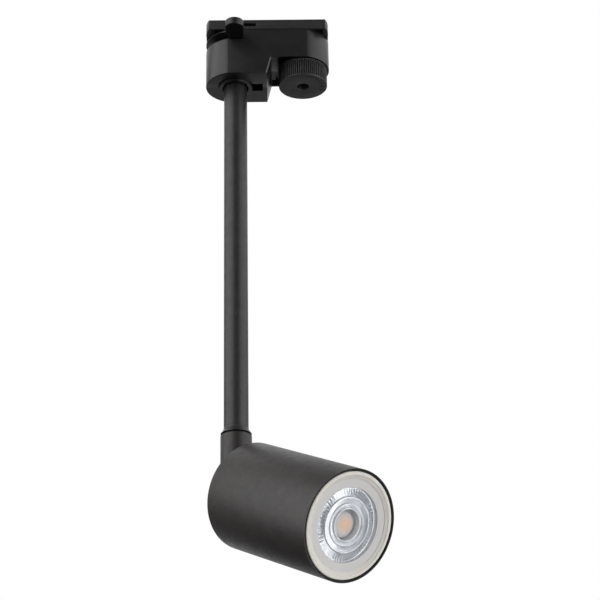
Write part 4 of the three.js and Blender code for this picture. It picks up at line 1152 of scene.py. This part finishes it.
def build_lens():
    """The lens's optics: a cup over the chip, two ridges and a faceted outer zone."""
    face = LENS_FACE - 0.6
    edge = CLEAR_RADIUS - 0.05
    front = rounded([
        (edge, face - 1.7, 0.1), (13.6, face - 0.7, 0.2), (13.2, face - 0.1, 0.1),
        (12.9, face - 0.1, 0.1), (12.5, face - 1.6, 0.2), (10.4, face - 0.8, 0.2),
        (10.0, face - 0.1, 0.1), (9.7, face - 0.1, 0.1), (9.3, face - 1.6, 0.2),
        (8.1, face - 1.0, 0.3), (7.8, face, 0.1), (7.5, face, 0.1), (7.1, face - 4.8, 0.2),
        (5.0, face - 4.9, 0.4), (0, face - 4.9),
    ], 5)
    fine = [front[0]]
    for before, after in zip(front, front[1:]):
        pieces = max(1, int((before - after).length / 0.5))
        fine += [before.lerp(after, (step + 1) / pieces) for step in range(pieces)]
    back = [(0, LENS_FOOT), (6.6, LENS_FOOT), (15.0, LENS_FACE - 7), (edge, FLANGE_BACK)]
    lens = revolve(back + [tuple(point) for point in fine], FLUTES * 8)
    for vertex in lens.data.vertices:
        radius = math.hypot(vertex.co.x, vertex.co.y)
        if vertex.co.z > FLANGE_BACK and radius < CLEAR_RADIUS - 0.1:
            turn = math.atan2(vertex.co.y, vertex.co.x)
            vertex.co.z -= fluted_depth((radius, vertex.co.z), turn)
    settle(lens, "lens_optics", HEAD, "lamp", "lens_plastic", ["lamp_lens"], lens_optics, smooth=50)


def build_lens_dome():
    """The inner lens over the chip; its middle is painted orange to stand in for the chip seen through it."""
    foot = LENS_FACE - 5.0
    wide, high = 6.95, 3.0
    cap = []
    for turn in range(90, -1, -6):
        angle = math.radians(turn)
        cap.append((wide * math.sin(angle), foot + high * math.cos(angle)))
    profile = [(0, foot - 0.4), (wide, foot - 0.4), *cap[:-1], (0, foot + high)]
    dome = revolve(profile, 128)
    # The dome's colour is painted: the chip's orange image seen through the lens, not a glow of its own.
    settle(dome, "lens_dome", HEAD, "lamp", "lens_plastic", material=lens_painted_chip_image)


def build_lens_window():
    """The lens's clear skin, level with the frosted flange and a little domed."""
    back = LENS_FACE - 0.45
    edge = CLEAR_RADIUS - 0.02
    profile = [
        (0, back + 0.2), (9, back + 0.15), (edge, back),
        (edge, LENS_FACE - 0.02), (9, LENS_FACE + 0.15), (0, LENS_FACE + 0.2),
    ]
    window = revolve(profile, 192)
    settle(window, "lens_window", HEAD, "lamp", "lens_plastic")


def build_lamp_shell():
    back = 42.3
    front = LAMP_FRONT - 3.2
    profile = rounded([
        (0, back), (13, back, 0.6), (14.5, 50, 0.5), (16.5, 62, 3), (24.9, front - 2, 0.8),
        (24.9, front, 0.2), (22.4, front, 0.2), (22.4, front - 2.8, 0.5), (14.3, 71.2, 0.5),
        (14.3, 68.9), (11, 68.9), (11, back + 3.5), (0, back + 3.5),
    ], 6)
    shell = revolve(profile, 192)
    carve(shell, *[cylinder(1.8, back - 1, back + 5, side * 5, 0, 24) for side in (-1, 1)])
    settle(shell, "lamp_shell_body", HEAD, "lamp", "lamp_plastic", ["lamp_shell"])


def build_chip():
    """A round chip: phosphor disc inside a low white dam."""
    base = CHIP_BASE
    inner = CHIP_RADIUS + 0.05
    profile = rounded([
        (inner, base), (DAM_RADIUS, base, 0.1), (DAM_RADIUS, base + 1.1, 0.3), (inner, base + 1.0, 0.3),
    ])
    dam = revolve(profile, 96)
    settle(dam, "chip_dam", HEAD, "lamp", "led_board")
    profile = rounded([(0, base), (CHIP_RADIUS, base), (CHIP_RADIUS, base + 0.8, 0.2), (0, base + 0.9)])
    disc = revolve(profile, 96)
    settle(disc, "chip_phosphor", HEAD, "lamp", "phosphor", ["led_chip"])


# ---- screws and nuts

def cross_screw(head_radius, head_height, shank_radius, length):
    """A cross-headed screw: underside of the head at z = 0, shank down."""
    crown = 0.35 * head_height
    profile = [(0, -length), (shank_radius * 0.6, -length), (shank_radius, -length + 0.5)]
    pitch = 0.7
    turns = int((length - 1) / pitch)
    for turn in range(turns):
        z = -length + 0.6 + turn * pitch
        profile += [(shank_radius, z), (shank_radius * 0.86, z + pitch / 2)]
    profile += [(shank_radius, -0.2), (shank_radius, 0)]
    edge = rounded([(shank_radius, 0), (head_radius, 0, 0.12), (head_radius, head_height - crown, 0.3),
                    (0, head_height)], 4)
    screw = revolve(profile + [tuple(point) for point in edge[1:]], 48)
    reach, half = head_radius * 0.6, head_radius * 0.13  # the cross's arms
    floor = head_height * 0.4
    recess = fuse(
        box(-reach, reach, -half, half, floor, FAR),
        box(-half, half, -reach, reach, floor, FAR),
    )
    return carve(screw, recess)


def place_screw(name, body, matrix, *dimensions, finish=None):
    """Dimensions are the head's radius and height, and the shank's radius and length."""
    piece = cross_screw(*dimensions)
    settle(piece, name + "_detail", matrix, body, "zinc_steel", [name], finish)


def build_screws():
    towards_back = Matrix.Rotation(-math.pi / 2, 4, "X")
    for name, (x, z) in HOUSING_SCREWS.items():
        place = ADAPTER @ Matrix.Translation((x, SCREW_SEAT + GAP, z)) @ towards_back
        place_screw(name, "adapter", place, 2.2, 1.5, 1.1, 14.5)
    for name, side in (("plate_screw_front", -1), ("plate_screw_back", 1)):
        place = ADAPTER @ Matrix.Translation((PLATE_SCREW[0], side * PLATE_SCREW[1], -1.7))
        place_screw(name, "adapter", place, 2.6, 1.3, 1.1, 9.0)
    lock_screw = STEM @ Matrix.Translation((0, 0, WING_TOP - 1.5))
    place_screw("lock_screw", "lock", lock_screw, 2.7, 1.4, 1.4, 8.0)
    knob_screw = KNOB @ Matrix.Translation((0, 0, -28.3)) @ Matrix.Rotation(math.pi, 4, "X")
    place_screw("knob_screw", "contacts", knob_screw, 2.8, 1.4, 1.0, 9.0, finish=black_steel)
    pivot_screw = HEAD @ Matrix.Translation((0, -6, 0)) @ Matrix.Rotation(math.pi / 2, 4, "X")
    place_screw("pivot_screw", "head", pivot_screw, 3.2, 1.7, 1.6, 12.6)


def build_pivot_nut():
    nut = carve(hexagon(5.8, 0, 2), cylinder(PIVOT_HOLE, -1, 3, segments=32))
    crown = revolve([(0, -0.2), (2.9, -0.2), (3.5, 0.5), (3.5, 1.5), (2.9, 2.2), (0, 2.2)], 48)
    keep_inside(nut, crown)
    soften(nut, 0.08, 2)
    lay_along_y(nut, NUT_SEAT + 0.1)
    settle(nut, "pivot_nut_detail", SWIVEL, "swivel", "zinc_steel", ["pivot_nut"])


# ---- floor and light

FLOOR_BELOW = 0.42  # metres below the lowest point of the spotlight


def make_floor():
    floor = prism([(-6, -6), (6, -6), (6, 6), (-6, 6)], -0.02, 0.0)
    floor.name = "floor"
    floor.location.z = cad_bounds[0][2] - FLOOR_BELOW
    material = coated("floor_paint", (0.86, 0.86, 0.86), (0.75, 0.85), 0.01, 60, 0.0001)
    floor.data.materials.append(material)
    floor.visible_diffuse = False
    floor.visible_glossy = False


def lobe(nodes, direction, edge, core, level):
    """Light that fills a cone of directions: full inside core degrees, none past edge degrees."""
    place = add_node(nodes, "TexCoord")
    middle = Vector(direction).normalized()
    towards = add_node(nodes, "VectorMath", {1: middle}, operation="DOT_PRODUCT")
    link(place, "Generated", towards, 0)
    fall = add_node(nodes, "MapRange", {
        "From Min": math.cos(math.radians(edge)), "From Max": math.cos(math.radians(core)),
        "To Min": 0.0, "To Max": level,
    }, interpolation_type="SMOOTHSTEP")
    link(towards, "Value", fall, "Value")
    return fall


AMBIENT = 0.05
STUDIO_LIGHTS = [  # direction, edge and core of the cone in degrees, strength
    ((0.0, 0.77, 0.64), 58, 26, 0.95),   # backdrop, upper part
    ((0.0, 0.90, -0.43), 34, 18, 0.32),  # backdrop, lower part
    ((-0.86, -0.40, 0.28), 46, 34, 1.95),  # left panel
    ((0.92, -0.22, 0.30), 46, 32, 1.3),  # right panel
    ((0.78, -0.36, -0.52), 42, 28, 3.4),  # low panel facing the lamp
]


def make_world():
    """Soft panels of light round the spotlight, and plain white where the camera looks."""
    world = bpy.data.worlds.new("studio")
    bpy.context.scene.world = world
    world.use_nodes = True
    nodes = world.node_tree.nodes
    background = nodes["Background"]
    total = None
    for direction, edge, core, level in STUDIO_LIGHTS:
        add = add_node(nodes, "Math", {1: AMBIENT})
        link(lobe(nodes, direction, edge, core, level), "Result", add, 0)
        if total:
            link(total, 0, add, 1)
        total = add
    seen = add_node(nodes, "LightPath")
    pick = add_node(nodes, "Mix", {3: 1.0})
    link(seen, "Is Camera Ray", pick, 0)
    link(total, 0, pick, 2)
    link(pick, 0, background, "Strength")
    set_inputs(background, {"Color": (1, 1, 1, 1)})


# ---- assembly

finish_carried_nodes()
build_plate()
build_housing()
build_bushing()
build_lever()
build_wing()
build_knob()
build_carrier()
build_stem()
build_ferrule()
build_washer()
build_collar()
build_knuckle()
build_head_housing()
build_rear_cap()
build_lamp_ring()
build_flange()
build_lens()
build_lens_dome()
build_lens_window()
build_lamp_shell()
build_chip()
build_screws()
build_pivot_nut()
make_floor()
make_world()
bpy.context.scene.view_settings.view_transform = "Standard"
